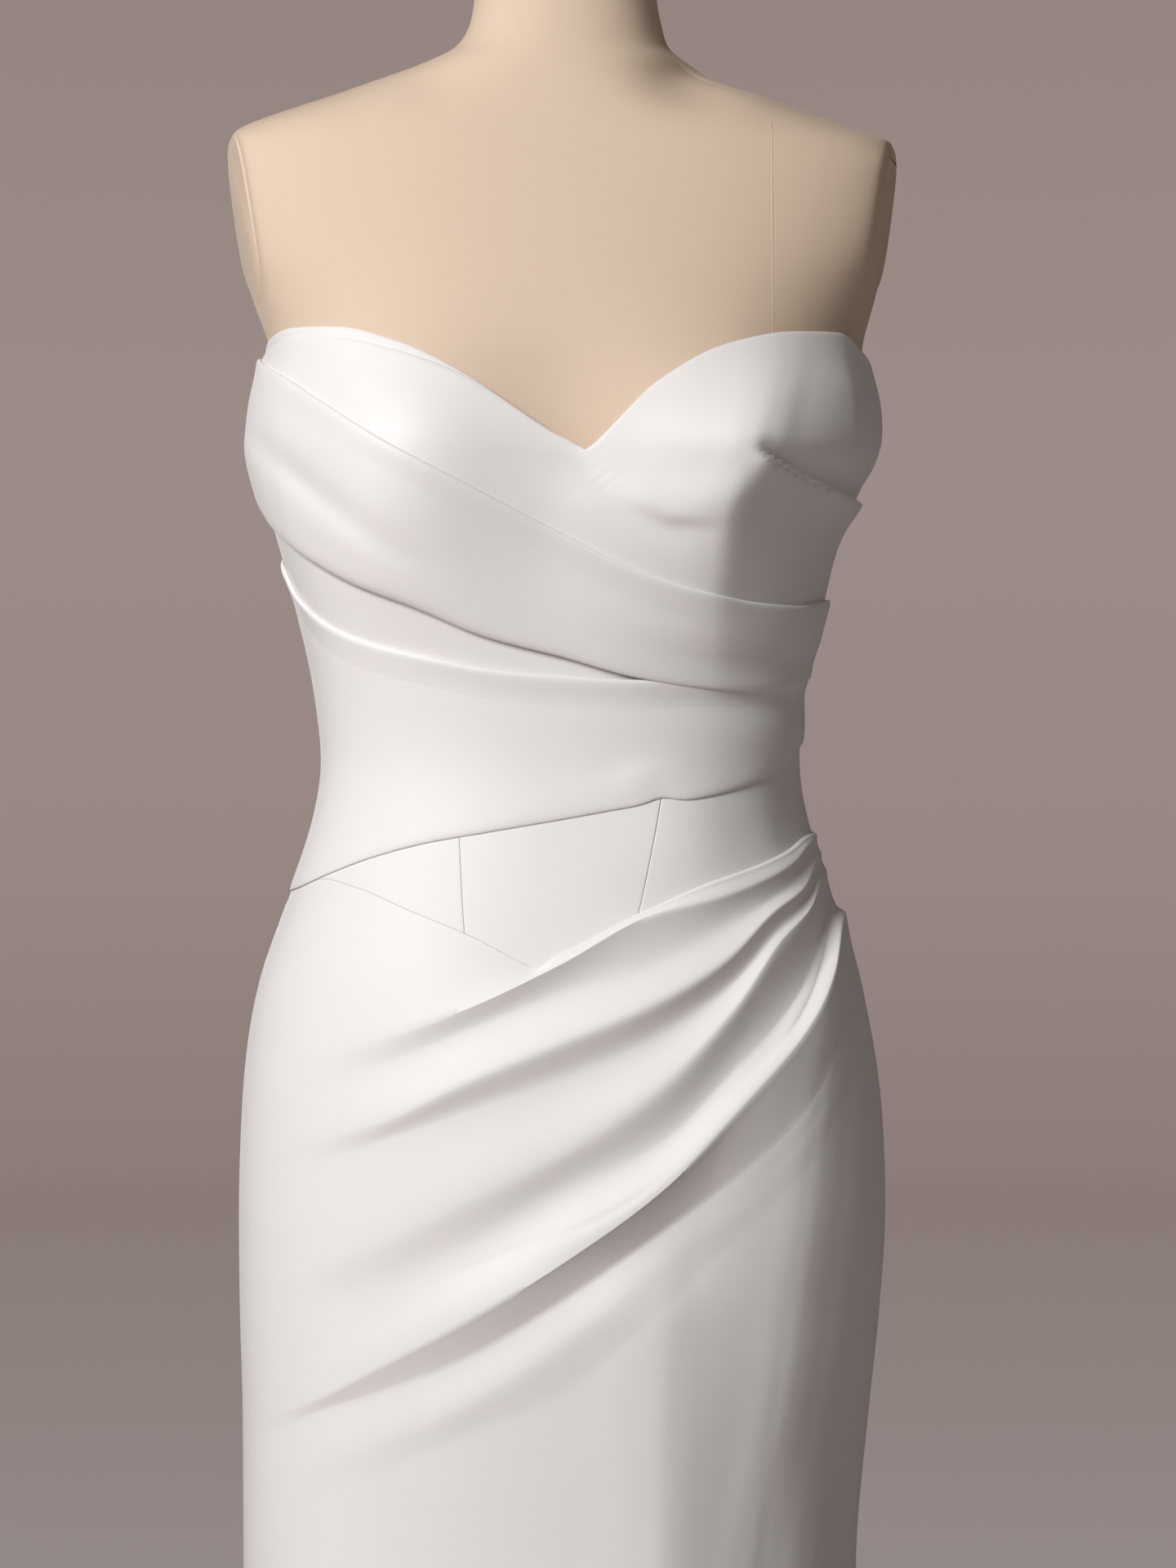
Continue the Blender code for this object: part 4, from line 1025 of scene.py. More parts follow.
@dataclass
class Bodice:
    """Foundation cup, bust drape, swathes, basque and plain back."""

    wardrobe: Wardrobe
    cup_under: float = 22.0
    cup_end: float = -7.0                # degrees
    cup_sink: tuple[float, float] = (0.1, 0.4)         # mm under its level, above and below
    underlap: float = 12.0
    under_swathe_end: float = 20.0
    waist_pinch: tuple[float, float, float] = (21.0, 4.0, 2.8)     # angle, spread, mm of rise
    basque_under: float = 14.0
    back_waist: float = 1018.0
    back_seam_above: float = 4.0         # mm of its own over the waist seam
    tuck: Table = ((20, 1262), (28, 1254), (35, 1248), (41, 1243), (47, 1238), (54, 1234),
                   (61, 1231), (79, 1227), (90, 1227))
    tuck_share: Table = ((34, 0.0), (38, 0.9), (44, 1.1), (50, 1.0), (60, 1.1), (74, 1.4),
                         (90, 1.4))
    tuck_from: float = 33.0              # degrees
    tuck_hollow: tuple = (2.6, 2.4, 6.0, 1.7)          # mm: size, place, reach up and down
    tuck_lip: tuple = (2.6, -2.0, 1.5, 8.0)            # the same of the lip under it
    tuck_dimple: tuple[float, float, float] = (1.5, 4.0, 2.6)      # mm, degrees, mm
    tuck_dimple_at: float = 40.0         # degrees
    right_seam: tuple[float, float] = (-22.0, -16.667)
    left_seam: tuple[float, float] = (22.0, 12.0)

    def sheet(self, piece: bpy.types.Object, facts: Piece) -> None:
        """Dress one sheet of satin, hang it on the form and hide the solid it replaces.

        Args:
            piece: the sheet.
            facts: the facts of it, of which only the solid's node is used.
        """
        self.wardrobe.dress(piece, Finish.SATIN)
        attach(piece, ROOT_BODY)
        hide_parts(facts.node)
        LOG.info("%s: %d points", piece.name, len(piece.data.vertices))

    def build(self) -> None:
        """Build every piece of the bodice."""
        self.build_cup()
        self.build_bust_drape()
        self.build_bust_swathe()
        self.build_under_swathe()
        self.build_waist_swathe()
        self.build_basque()
        self.build_back()

    def neck_edge(self) -> Line:
        """Top edge of the foundation on the right and of the drape on the left."""
        return split_line(NECK_RIGHT, NECK_LEFT, V_ANGLE)

    def drape_edge(self) -> Line:
        """Top edge of the bust drape."""
        return split_line(DRAPE_RIGHT, NECK_LEFT, V_ANGLE)

    def build_cup(self) -> None:
        """Right cup of the foundation, a narrow border above the drape."""
        rows = front_rows(self.cup_end)
        rows.neck_lip(self.neck_edge(), BODY)
        edge = shifted(self.neck_edge(), NECK_LIP_REACH)
        low = shifted(stations(BUST_TOP), self.cup_under)
        high_outer, low_outer = (BODY - sink for sink in self.cup_sink)
        rows.span((edge, level(high_outer)), (low, level(low_outer)), steps=14)
        rows.add(low(rows.columns), low_outer)
        piece = rows.grid("foundation_cup_right").build()
        self.sheet(piece, Piece("bodice_cup_right", (0.25, 0.115), 0.0158, "stretched"))

    def build_bust_drape(self) -> None:
        """One drape over the right cup, past the V and round the left cup to its tuck."""
        rows = front_rows()
        edge = self.drape_edge()
        low = shifted(stations(BUST_TOP), self.underlap)
        rows.neck_lip(edge, SECOND)
        start = (shifted(edge, NECK_LIP_REACH), level(SECOND))
        rows.span(start, (low, level(SECOND)), steps=64, shape=lambda t: t)
        rows.add(low(rows.columns), SECOND)
        folds = (
            SoftFold(((0, 1252), (2.6, 1248), (5.3, 1240), (9.7, 1228), (14.7, 1220), (20, 1215),
                      (28, 1214), (34, 1213)),
                     ((2, 0.0), (5, 0.8), (9, 2.0), (14, 3.0), (20, 2.8), (26, 1.8), (30, 0.8),
                      (34, 0.0)), 13.0, 3.2),
            SoftFold(((-6, 1246), (0, 1241), (4.6, 1235), (10, 1221), (15, 1212), (20, 1208),
                      (32, 1206)),
                     ((-12, 0.0), (0, -0.5), (8, -1.2), (18, -1.2), (24, -0.8), (31, 0.0)),
                     3.2, 8.0),
        )
        piece = rows.grid("bust_drape_satin", folds, relief=self.cup_relief).build()
        self.sheet(piece, Piece("bust_drape", (0.54, 0.19), 0.051, "draped"))

    def cup_relief(self, angle: np.ndarray, height: np.ndarray) -> np.ndarray:
        """The tuck at the left cup's side: a hollow over a lip that overlaps it.

        Args:
            angle: degrees round the figure.
            height: mm.

        Returns:
            The relief in mm.
        """
        away = height - Curve(self.tuck)(angle)
        share = Curve(self.tuck_share)(angle) * (angle > self.tuck_from)
        hollow, lip = (
            size * np.exp(-0.5 * ((away - at) / np.where(away > at, above, below_it)) ** 2)
            for size, at, above, below_it in (self.tuck_hollow, self.tuck_lip))
        depth, across, over = self.tuck_dimple
        dimple = depth * np.exp(-0.5 * ((angle - self.tuck_dimple_at) / across) ** 2
                                - 0.5 * ((away - self.tuck_hollow[1]) / over) ** 2)
        return share * (lip - hollow) - dimple

    def build_bust_swathe(self) -> None:
        """Doubled band from the right underarm down across the left ribs."""
        rows = front_rows()
        top, low = stations(BUST_TOP), stations(BUST_LOW)
        bulge = Curve(((-90, 2.8), (-65, 3.4), (-40, 3.2), (-20, 2.2), (0, 1.4), (45, 0.8),
                       (90, 0.6)))
        base = level(THIRD)
        foot_base: Line = lambda angle: THIRD + bulge(angle)
        rows.lip(top, base, Curve(((-90, 0.8), (-40, 1.2), (0, 1.5), (90, 1.3))))
        rows.span((shifted(top, LIP_REACH), base), (shifted(low, -LIP_REACH), foot_base),
                  steps=30)
        rows.roll_under(low, foot_base, Curve(((-90, 2.3), (-65, 2.9), (-40, 2.8), (-20, 2.3),
                                               (0, 1.7), (20, 1.2), (90, 1.0))))
        folds = (
            SoftFold(((-90, 1275), (-60, 1242), (-45, 1218), (-30, 1194), (-15, 1180)),
                     ((-90, 0.0), (-72, -1.4), (-55, -2.4), (-35, -1.8), (-18, 0.0)), 9.0, 7.0),
            SoftFold(((0, 1168), (15, 1160), (30, 1156), (60, 1154), (90, 1158)),
                     ((0, 0.0), (25, 1.1), (55, 2.1), (90, 1.5)), 8.0, 7.0),
            SoftFold(((0, 1152), (20, 1141), (40, 1136), (90, 1140)),
                     ((10, 0.0), (35, -1.0), (60, -1.7), (80, -1.0), (90, -0.5)), 5.0, 7.0),
        )
        piece = rows.grid("bust_swathe_satin", folds).build()
        self.sheet(piece, Piece("swathe_bust", (0.50, 0.13), 0.042, "draped",
                                ("dress_form_torso", "bust_drape_satin")))

    def build_under_swathe(self) -> None:
        """The recessed band between the two large swathes, on the right side."""
        rows = front_rows(self.under_swathe_end)
        top = shifted(stations(BUST_LOW), -self.underlap)
        low = shifted(stations(WAIST_TOP), self.underlap)
        sunk = Curve(((-90, 2.6), (-70, 2.5), (-50, 2.1), (-30, 1.6), (20, 1.4)))
        snug = Curve(((-90, 3.4), (-78, 2.8), (-62, 2.3), (-40, 2.3), (-20, 2.2), (0, 1.6),
                      (20, 1.4)))
        rows.span((top, snug), (low, sunk), steps=16)
        rows.add(low(rows.columns), sunk(rows.columns))
        piece = rows.grid("under_swathe_satin", sew=(True, False)).build()
        self.sheet(piece, Piece("swathe_under", (0.29, 0.068), 0.0126, "draped"))

    def build_waist_swathe(self) -> None:
        """Doubled band round the waist, rolled above and folded below."""
        rows = front_rows()
        top, edge = stations(WAIST_TOP), stations(WAIST_LOW)
        at, spread, rise = self.waist_pinch
        low: Line = lambda angle: edge(angle) + rise * np.exp(-((angle - at) / spread) ** 2)
        roll = Curve(((-90, 1.2), (-76, 1.6), (-60, 2.1), (-30, 2.1), (-10, 1.4), (5, 1.0),
                      (90, 1.5)))
        rows.lip(top, level(SECOND), roll)
        rows.span((shifted(top, LIP_REACH), level(SECOND)),
                  (shifted(low, -LIP_REACH), level(SECOND)), steps=42)
        rows.roll_under(low, level(SECOND), Curve(((-90, 0.7), (0, 1.0), (90, 1.0))))
        folds = (
            SoftFold(((-90, 1174), (-76, 1169), (-63, 1159), (-52, 1152), (-42, 1146),
                      (-31, 1140), (-18, 1131), (-6, 1125)),
                     ((-90, -0.2), (-74, -0.8), (-58, -1.6), (-45, -1.7), (-30, -1.2), (-15, -0.5),
                      (-6, 0.0)), 3.4, 7.0),
            SoftFold(((-20, 1123), (0, 1120), (25, 1118), (60, 1121), (90, 1124)),
                     ((-18, 0.0), (4, -0.6), (30, -0.9), (60, -1.4), (80, -0.9), (90, -0.5)),
                     4.0, 7.0),
            SoftFold(((0, 1098), (30, 1098), (60, 1100), (90, 1104)),
                     ((10, 0.0), (35, 0.8), (60, 1.4), (90, 0.8)), 9.0, 11.0),
            SoftFold(((-16, 1054), (12, 1074), (19, 1078), (30, 1080)),
                     ((-14, 0.0), (8, 0.5), (16, 1.3), (21, 0.8), (30, 0.0)), 6.0, 5.0),
        )
        piece = rows.grid("waist_swathe_satin", folds).build()
        self.sheet(piece, Piece("swathe_waist", (0.42, 0.21), 0.044, "draped"))

    def build_basque(self) -> None:
        """Three fitted panels that end in a V at the centre front."""
        right_top, right_low = self.right_seam
        left_top, left_low = self.left_seam
        panels = (
            ("basque_right_satin", "basque_side_right", (-SIDE, right_low), (-SIDE, right_top),
             (0.16, 0.07), 0.0050),
            ("basque_centre_satin", "basque_centre", (right_low, left_low),
             (right_top, left_top), (0.10, 0.10), 0.0082),
            ("basque_left_satin", "basque_side_left", (left_low, SIDE), (left_top, SIDE),
             (0.17, 0.09), 0.0112),
        )
        low = split_line(BASQUE_RIGHT, BASQUE_LEFT, BASQUE_POINT[0])
        top = shifted(stations(WAIST_LOW), -self.basque_under)
        for name, node, foot, head, flat, area in panels:
            rows = Rows(columns_between(foot[0] + SEAM_HALF, foot[1] - SEAM_HALF, step=0.9))
            rows.span((top, level(BODY)), (shifted(low, -BASQUE_EDGE[0][0]), level(BODY)),
                      steps=22)
            for up, out in BASQUE_EDGE:
                rows.add(low(rows.columns) + up, BODY + out)
            piece = rows.grid(name, slant=slant_between(head, foot)).build()
            self.sheet(piece, Piece(node, flat, area, "stretched"))

    def build_back(self) -> None:
        """Plain back of the bodice in two panels, parted by the zip."""
        neck = Curve(BACK_NECK)
        top: Line = lambda angle: neck(np.abs(angle))
        low = level(self.back_waist + self.back_seam_above)
        for side, start, end in BACK_PANELS:
            rows = Rows(columns_between(start + SEAM_HALF, end - SEAM_HALF, step=1.8))
            rows.neck_lip(top, BODY)
            rows.span((shifted(top, NECK_LIP_REACH), level(BODY)), (low, level(BODY)), steps=50,
                      shape=lambda t: t)
            for up, out in OVER_WAIST_SEAM:
                rows.add(self.back_waist + up, BODY + out)
            piece = rows.grid(f"bodice_back_{side}_satin").build()
            self.sheet(piece, Piece(f"bodice_back_{side}", (0.23, 0.305), 0.0545, "stretched"))


@dataclass(frozen=True)
class DrapeLine:
    """A crest or a hollow of the skirt's fan: places at the stations, in mm."""

    heights: tuple[float, ...]
    outers: tuple[float, ...]
    crisp: Table = ((-90, 0.0), (90, 0.0))

    def at(self, angles: np.ndarray) -> tuple[np.ndarray, np.ndarray]:
        """Its heights and its outer faces at these angles."""
        return stations(self.heights)(angles), stations(self.outers)(angles)


CREST_1 = DrapeLine((905, 913, 922, 931, 940, 955, 979, 1004, 1013, 1023, 1033, 1043, 1046),
                    (2, 2, 2, 2.2, 3.6, 6.0, 7.8, 8.2, 8.2, 7.6, 6.8, 5.8, 4.8),
                    ((-40, 0.1), (-15, 0.6), (5, 0.8), (90, 0.8)))
HOLLOW_1 = DrapeLine((888, 896, 905, 915, 926, 943, 963, 980, 997, 1012, 1025, 1037.5, 1041),
                     (2, 2, 2, 1.8, 1.4, 1.0, 1.2, 2.0, 3.0, 4.4, 4.4, 4.2, 3.8))
CREST_2 = DrapeLine((862, 870, 878, 886, 896, 916, 938, 959, 981, 1006, 1019, 1033, 1037),
                    (2, 2, 2, 2.6, 4.6, 7.2, 9.2, 10.2, 10.0, 8.6, 6.8, 5.2, 4.4),
                    ((-40, 0.1), (-15, 0.4), (15, 0.5), (45, 0.8), (90, 0.9)))
HOLLOW_2 = DrapeLine((851, 858, 865, 873, 885, 900, 918, 940, 966, 996, 1012, 1028, 1032),
                     (2, 2, 2, 1.8, 1.4, 1.0, 1.2, 1.6, 2.4, 4.4, 4.2, 3.6, 3.2))
CREST_3 = DrapeLine((796, 802, 808, 818, 833, 854, 880, 914, 954, 990, 1008, 1024, 1028),
                    (2, 2, 2, 2.6, 3.8, 5.2, 7.2, 9.4, 9.6, 8.6, 6.8, 4.8, 4.0),
                    ((-90, 0.0), (-10, 0.1), (15, 0.3), (35, 0.7), (90, 0.8)))
HOLLOW_3 = DrapeLine((780, 786, 793, 800, 811, 831, 860, 887, 925, 955, 985, 1009, 1013),
                     (2, 2, 2, 1.8, 1.6, 1.8, 2.4, 3.0, 2.0, 0.6, 0.6, 1.2, 1.8))
GROOVE_4 = DrapeLine((752, 757, 763, 773, 788, 810, 842, 874, 914, 947, 979, 1005, 1009),
                     (2, 2, 2.1, 2.8, 3.7, 5.2, 7.3, 8.2, 7.0, 4.6, 2.4, 2.4, 2.6),
                     ((-90, 1.0), (38, 1.0), (47, 0.0), (90, 0.0)))
CREST_4 = DrapeLine((728, 732, 738, 748, 766, 789, 822, 861.5, 905, 941, 974, 1000, 1005),
                    (2, 2, 2.3, 3.8, 5.8, 8.6, 12.2, 13.4, 12.4, 11.4, 9.8, 7.8, 6.6),
                    ((-50, 0.3), (-30, 0.8), (10, 0.9), (30, 0.9), (45, 0.8), (90, 0.6)))
HOLLOW_4 = DrapeLine((720, 723, 729, 741, 754, 771, 802, 838, 869, 901, 942, 976, 986),
                     (2, 2, 1.8, 1.5, 1.3, 1.2, 1.5, 2.6, 4.0, 4.6, 4.6, 4.4, 4.2))
CREST_5 = DrapeLine((698, 700, 703, 713, 728, 746, 778, 820, 852, 888, 930, 962, 972),
                    (2, 2, 2, 2.2, 2.8, 3.8, 4.4, 3.8, 3.9, 4.2, 4.2, 4.0, 3.8),
                    ((-90, 0.0), (90, 0.2)))
HOLLOW_5 = DrapeLine((680, 682, 685, 697, 711, 728, 750, 794, 834, 868, 905, 940, 950),
                     (2, 2, 2, 1.9, 1.9, 2.0, 2.2, 2.8, 3.4, 3.6, 3.6, 3.2, 3.0))

# Soft flutes of the lower skirt: angle, spread (degrees), depth at the hem (mm), top (mm)
FLUTES = (
    (-152, 13, 13, 600),
    (-122, 12, 11, 560),
    (-84, 12, 12, 580),
    (-50, 11, 10, 560),
    (-16, 11, 11, 620),
    (20, 10, 13, 860),
    (53, 12, 15, 900),
    (86, 11, 11, 600),
    (120, 12, 12, 560),
    (150, 13, 14, 600),
    (180, 12, 12, 560),
)


# The edge sewn to the basque: mm down from it, mm off the body where sewn and where folded over
SKIRT_EDGE = ((8.0, -1.4, 0.7), (3.0, -1.4, 0.7), (1.0, -1.2, 0.75), (0.3, -0.6, 1.0),
              (0.0, -0.10, 1.5), (0.5, -0.02, 2.5))
SKIRT_GAP = 0.05                 # mm between that edge and the basque's
# How fast the outer face moves down from a crisp line of the fan, or down to one
CRISP_FALL, CRISP_FALL_4, CRISP_RISE, SEWN_RISE = 1.8, 0.85, 1.7, 2.4
# The cloth turned up at the hem: mm up from the fold, mm off its own level
HEM_FOLD = ((0.3, -0.5), (0.9, -1.1), (2.2, -1.45), (9.0, -1.5), (24.0, -1.5))


@dataclass
class Skirt:
    """Skirt front with its fan of folds, and the two plain back panels."""

    bodice: Bodice
    hem: float = 18.0
    folds_settle: float = 0.33
    rows_to_hem: int = 70
    rows_between: int = 10               # from one line of the fan to the next
    back_rows: int = 150
    back_seam: tuple[float, float] = (0.2, 6.0)        # mm under the waist: edge, plain cloth
    folds_over: float = 3.0              # degrees over which the sewn edge turns into a fold
    fold_rise: float = 3.2               # mm that the folded edge stands off the body
    fold_drop: float = 1.1               # mm under the edge where the open cloth starts
    planes_fade: tuple[float, float, float] = (550.0, 450.0, 0.6)   # height, reach, share lost
    thigh_ridge_from: tuple[float, float] = (832.0, 44.0)           # height and reach in mm
    thigh_sink_from: tuple = ((850.0, 70.0, 0.4), (776.0, 70.0, 0.6))    # height, reach, share
    side_ridge_from: tuple[float, float] = (985.0, 50.0)
    side_ridge_end: tuple[float, float] = (88.0, 12.0)              # degrees
    thigh_ridge: Table = ((-24, 0.0), (-10, 1.6), (2, 4.0), (11, 6.4), (15, 6.8), (18, 6.0),
                          (24, 3.4), (32, 1.2), (40, 0.0))
    thigh_sink: Table = ((16, 0.0), (22, -1.4), (30, -3.4), (38, -4.6), (46, -5.6), (56, -6.8),
                         (64, -6.6), (74, -4.2), (84, -1.2), (90, 0.0))
    side_ridge_place: Table = ((20, 31), (620, 33), (686, 36), (740, 40.5), (757, 41), (817, 43),
                               (880, 47), (926, 52), (952, 56.5), (980, 60))
    side_ridge: Table = ((-22, 0.0), (-9, 1.8), (-2, 3.0), (1, 3.0), (5, 2.2), (12, 0.6),
                         (20, 0.0))

    def build(self) -> None:
        """Build the front and the two back panels."""
        self.build_front()
        self.build_back()

    def flutes(self, angle: np.ndarray, height: np.ndarray) -> np.ndarray:
        """Soft flutes of the lower skirt.

        Args:
            angle: degrees round the figure.
            height: mm.

        Returns:
            How far the cloth stands out, in mm.
        """
        total = np.zeros(np.broadcast(angle, height).shape)
        for centre, spread, depth, top in FLUTES:
            apart = (angle - centre + 180) % 360 - 180
            total += depth * below(height, top, top - self.hem) * np.exp(-(apart / spread) ** 2)
        return total

    def planes(self, angle: np.ndarray, height: np.ndarray) -> np.ndarray:
        """Two soft upright ridges on the left, with flat cloth between and beside them.

        Args:
            angle: degrees round the figure.
            height: mm.

        Returns:
            The relief in mm.
        """
        start, reach, lost = self.planes_fade
        kept = 1 - lost * below(height, start, reach)
        ridge = Curve(self.thigh_ridge)(angle) * below(height, *self.thigh_ridge_from)
        sink = Curve(self.thigh_sink)(angle) * sum(
            share * below(height, start, reach) for start, reach, share in self.thigh_sink_from)
        beside = Curve(self.side_ridge)(angle - Curve(self.side_ridge_place)(height))
        beside = (beside * below(height, *self.side_ridge_from)
                  * below(angle, *self.side_ridge_end))
        return kept * (ridge + sink + beside)

    def turned_hem(self, rows: Rows) -> None:
        """Fold the cloth under at the hem and up inside.

        Args:
            rows: where the rows are added.
        """
        for up, out in HEM_FOLD:
            height = self.hem + up
            rows.add(height, BODY + out + self.flutes(rows.columns, np.float64(height)))

    def top_edge(self, rows: Rows, edge: Line) -> None:
        """The edge sewn to the basque on the right, folded over the basque on the left.

        Args:
            rows: where the rows are added.
            edge: heights of the edge.
        """
        folded = ease((rows.columns - BASQUE_POINT[0]) / self.folds_over)
        for down, sewn, over in SKIRT_EDGE:
            rows.add(edge(rows.columns) - down, BODY + blend(sewn, over, folded))
        crest, crest_outer = CREST_1.at(rows.columns)
        for t in np.arange(self.rows_between) / self.rows_between:
            share = blend(t ** SEWN_RISE, ease(t), folded)
            rows.add(blend(edge(rows.columns) - self.fold_drop, crest, t),
                     blend(BODY + self.fold_rise * folded, crest_outer, share))

    def slope(self, rows: Rows, upper: DrapeLine, lower: DrapeLine, crisp: np.ndarray,
              crisp_shape: Callable[[float], float]) -> None:
        """Rows from one line of the fan down to, and without, the next.

        Args:
            rows: where the rows are added.
            upper: the line they start from.
            lower: the line they end before.
            crisp: how crisp the crest is at each column.
            crisp_shape: how the outer face goes where the crest is crisp.
        """
        top, top_outer = upper.at(rows.columns)
        low, low_outer = lower.at(rows.columns)
        for t in np.arange(self.rows_between) / self.rows_between:
            share = blend(ease(t), crisp_shape(t), crisp)
            rows.add(blend(top, low, t), blend(top_outer, low_outer, share))

    def fall(self, rows: Rows, crest: DrapeLine, hollow: DrapeLine,
             crisp_shape: Callable[[float], float] = lambda t: 1 - (1 - t) ** CRISP_FALL
             ) -> None:
        """Rows from a crest down into the hollow under it, or down a slope's second half."""
        self.slope(rows, crest, hollow, Curve(crest.crisp)(rows.columns), crisp_shape)

    def rise(self, rows: Rows, hollow: DrapeLine, crest: DrapeLine) -> None:
        """Rows from a hollow down the long slope to the next crest."""
        self.slope(rows, hollow, crest, Curve(crest.crisp)(rows.columns), lambda t: t ** CRISP_RISE)

    def build_front(self) -> None:
        """Skirt front: rows follow each crest and hollow of the fan."""
        rows = front_rows()
        edge = split_line(BASQUE_RIGHT, SKIRT_LEFT, BASQUE_POINT[0])
        self.top_edge(rows, shifted(edge, SKIRT_GAP))
        sewn_rows, rows = rows, Rows(rows.columns)
        self.fall(rows, CREST_1, HOLLOW_1)
        self.rise(rows, HOLLOW_1, CREST_2)
        self.fall(rows, CREST_2, HOLLOW_2)
        self.rise(rows, HOLLOW_2, CREST_3)
        self.fall(rows, CREST_3, HOLLOW_3)
        self.rise(rows, HOLLOW_3, GROOVE_4)
        rows.soften(passes=2)
        self.fall(rows, GROOVE_4, CREST_4)
        self.fall(rows, CREST_4, HOLLOW_4, lambda t: t ** CRISP_FALL_4)
        self.rise(rows, HOLLOW_4, CREST_5)
        self.fall(rows, CREST_5, HOLLOW_5)
        rows.heights = sewn_rows.heights + rows.heights
        rows.outers = sewn_rows.outers + rows.outers
        last_height, last_outer = HOLLOW_5.at(rows.columns)
        for t in np.arange(self.rows_to_hem + 1) / self.rows_to_hem:
            height = blend(last_height, self.hem, t)
            settled = blend(last_outer, BODY, ease(t / self.folds_settle))
            rows.add(height, settled + self.flutes(rows.columns, height))
        self.turned_hem(rows)
        folds = (
            SoftFold(((-40, 806), (-15, 818), (-5, 830), (4, 844), (12, 861), (18, 880)),
                     ((-20, 0.0), (-8, -0.35), (4, -0.5), (11, -0.4), (15, 0.0)), 1.6, 1.6),
        )
        piece = rows.grid("skirt_front_satin", folds, relief=self.planes).build()
        self.bodice.sheet(piece, Piece("skirt_front_drape", (0.82, 1.12), 0.580, "gathered"))

    def build_back(self) -> None:
        """The two plain back panels, from the waist seam to the hem."""
        under_seam, seam_reach = self.back_seam
        top = self.bodice.back_waist - under_seam
        for side, start, end in BACK_PANELS:
            rows = Rows(columns_between(start + SEAM_HALF, end - SEAM_HALF, step=1.5))
            for up, out in UNDER_WAIST_SEAM:
                rows.add(top + up, BODY + out)
            for height in np.linspace(top - seam_reach, self.hem, self.back_rows):
                rows.add(height, BODY + self.flutes(rows.columns, height))
            self.turned_hem(rows)
            piece = rows.grid(f"skirt_back_{side}_satin").build()
            self.bodice.sheet(piece, Piece(f"skirt_back_{side}", (0.42, 1.055), 0.290, "hung"))


@dataclass
class ZipSewing:
    """The woven tape behind the centre back opening and the coil sewn down its middle."""

    bodice: Bodice
    head: float = 1250.0
    foot: float = 905.0
    tape_half: float = 3.1               # degrees, for a tape 24 mm wide
    tape_outer: float = 0.9
    tape_wall: float = 0.0004
    coil_offset: float = -0.0001
    coil_radius: float = 0.00036
    coil_relief: float = 0.00005
    coil_pitch: float = 0.0013
    tape_grid: tuple[int, int] = (60, 7)               # rows and columns
    coil_grid: tuple[int, int] = (1150, 8)

    def build(self) -> None:
        """Build the tape and the coil, and hang both on the form."""
        steps, columns = self.tape_grid
        rows = Rows(CENTRE_BACK + np.linspace(-self.tape_half, self.tape_half, columns))
        outer = level(self.tape_outer)
        rows.span((level(self.head), outer), (level(self.foot), outer), steps)
        rows.add(self.foot, self.tape_outer)
        grid = rows.grid("zip_tape", sew=(False, False))
        grid.wall = self.tape_wall
        tape = grid.build()
        self.bodice.wardrobe.dress(tape, Finish.SATIN)
        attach(tape, ROOT_BODY)
        self.build_coil()
        LOG.info("zip: tape and coil")

    def build_coil(self) -> None:
        """The closed coil, with one ridge to each turn."""
        steps, sides = self.coil_grid
        heights = np.linspace(self.head, self.foot, steps) * MM
        path = FIGURE.points(np.float64(CENTRE_BACK), heights, np.float64(self.coil_offset))
        turn = np.linspace(0.0, 2 * math.pi, sides, endpoint=False)
        wave = np.sin(2 * math.pi * heights[:, None] / self.coil_pitch + turn)
        radius = self.coil_radius + self.coil_relief * wave
        ring = np.stack((radius * np.cos(turn), radius * np.sin(turn), 0.0 * radius), axis=-1)
        coil = finish_object("zip_coil", closed_tube(path[:, None, :] + ring))
        self.bodice.wardrobe.dress(coil, Finish.SATIN)
        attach(coil, ROOT_BODY)


# ---------------------------------------------------------------------------
# Dress form and stand
# ---------------------------------------------------------------------------

@dataclass(frozen=True)
class ArmPlane:
    """The flat face of one arm plate, at a height of 1.36 m."""

    side: int
    out: float
    per_back: float
    per_up: float
    at: float = 1.360

    def normal(self) -> np.ndarray:
        """Outward direction of the face."""
        way = np.array((self.side, -self.per_back, -self.per_up))
        return way / np.linalg.norm(way)

    def past(self, points: np.ndarray) -> np.ndarray:
        """How far points lie outside the face."""
        return (points - np.array((self.side * self.out, 0.0, self.at))) @ self.normal()


ARM_RIGHT = ArmPlane(-1, 0.1715, 0.17, 0.14)
ARM_LEFT = ArmPlane(1, 0.1739, 0.13, 0.124)


# Rows of the torso: from, up to, step; they lie closer over the sloping shoulders
TORSO_BANDS = ((0.780, 1.300, 0.010), (1.300, 1.400, 0.004), (1.400, 1.480, 0.0012),
               (1.480, 1.5451, 0.005))


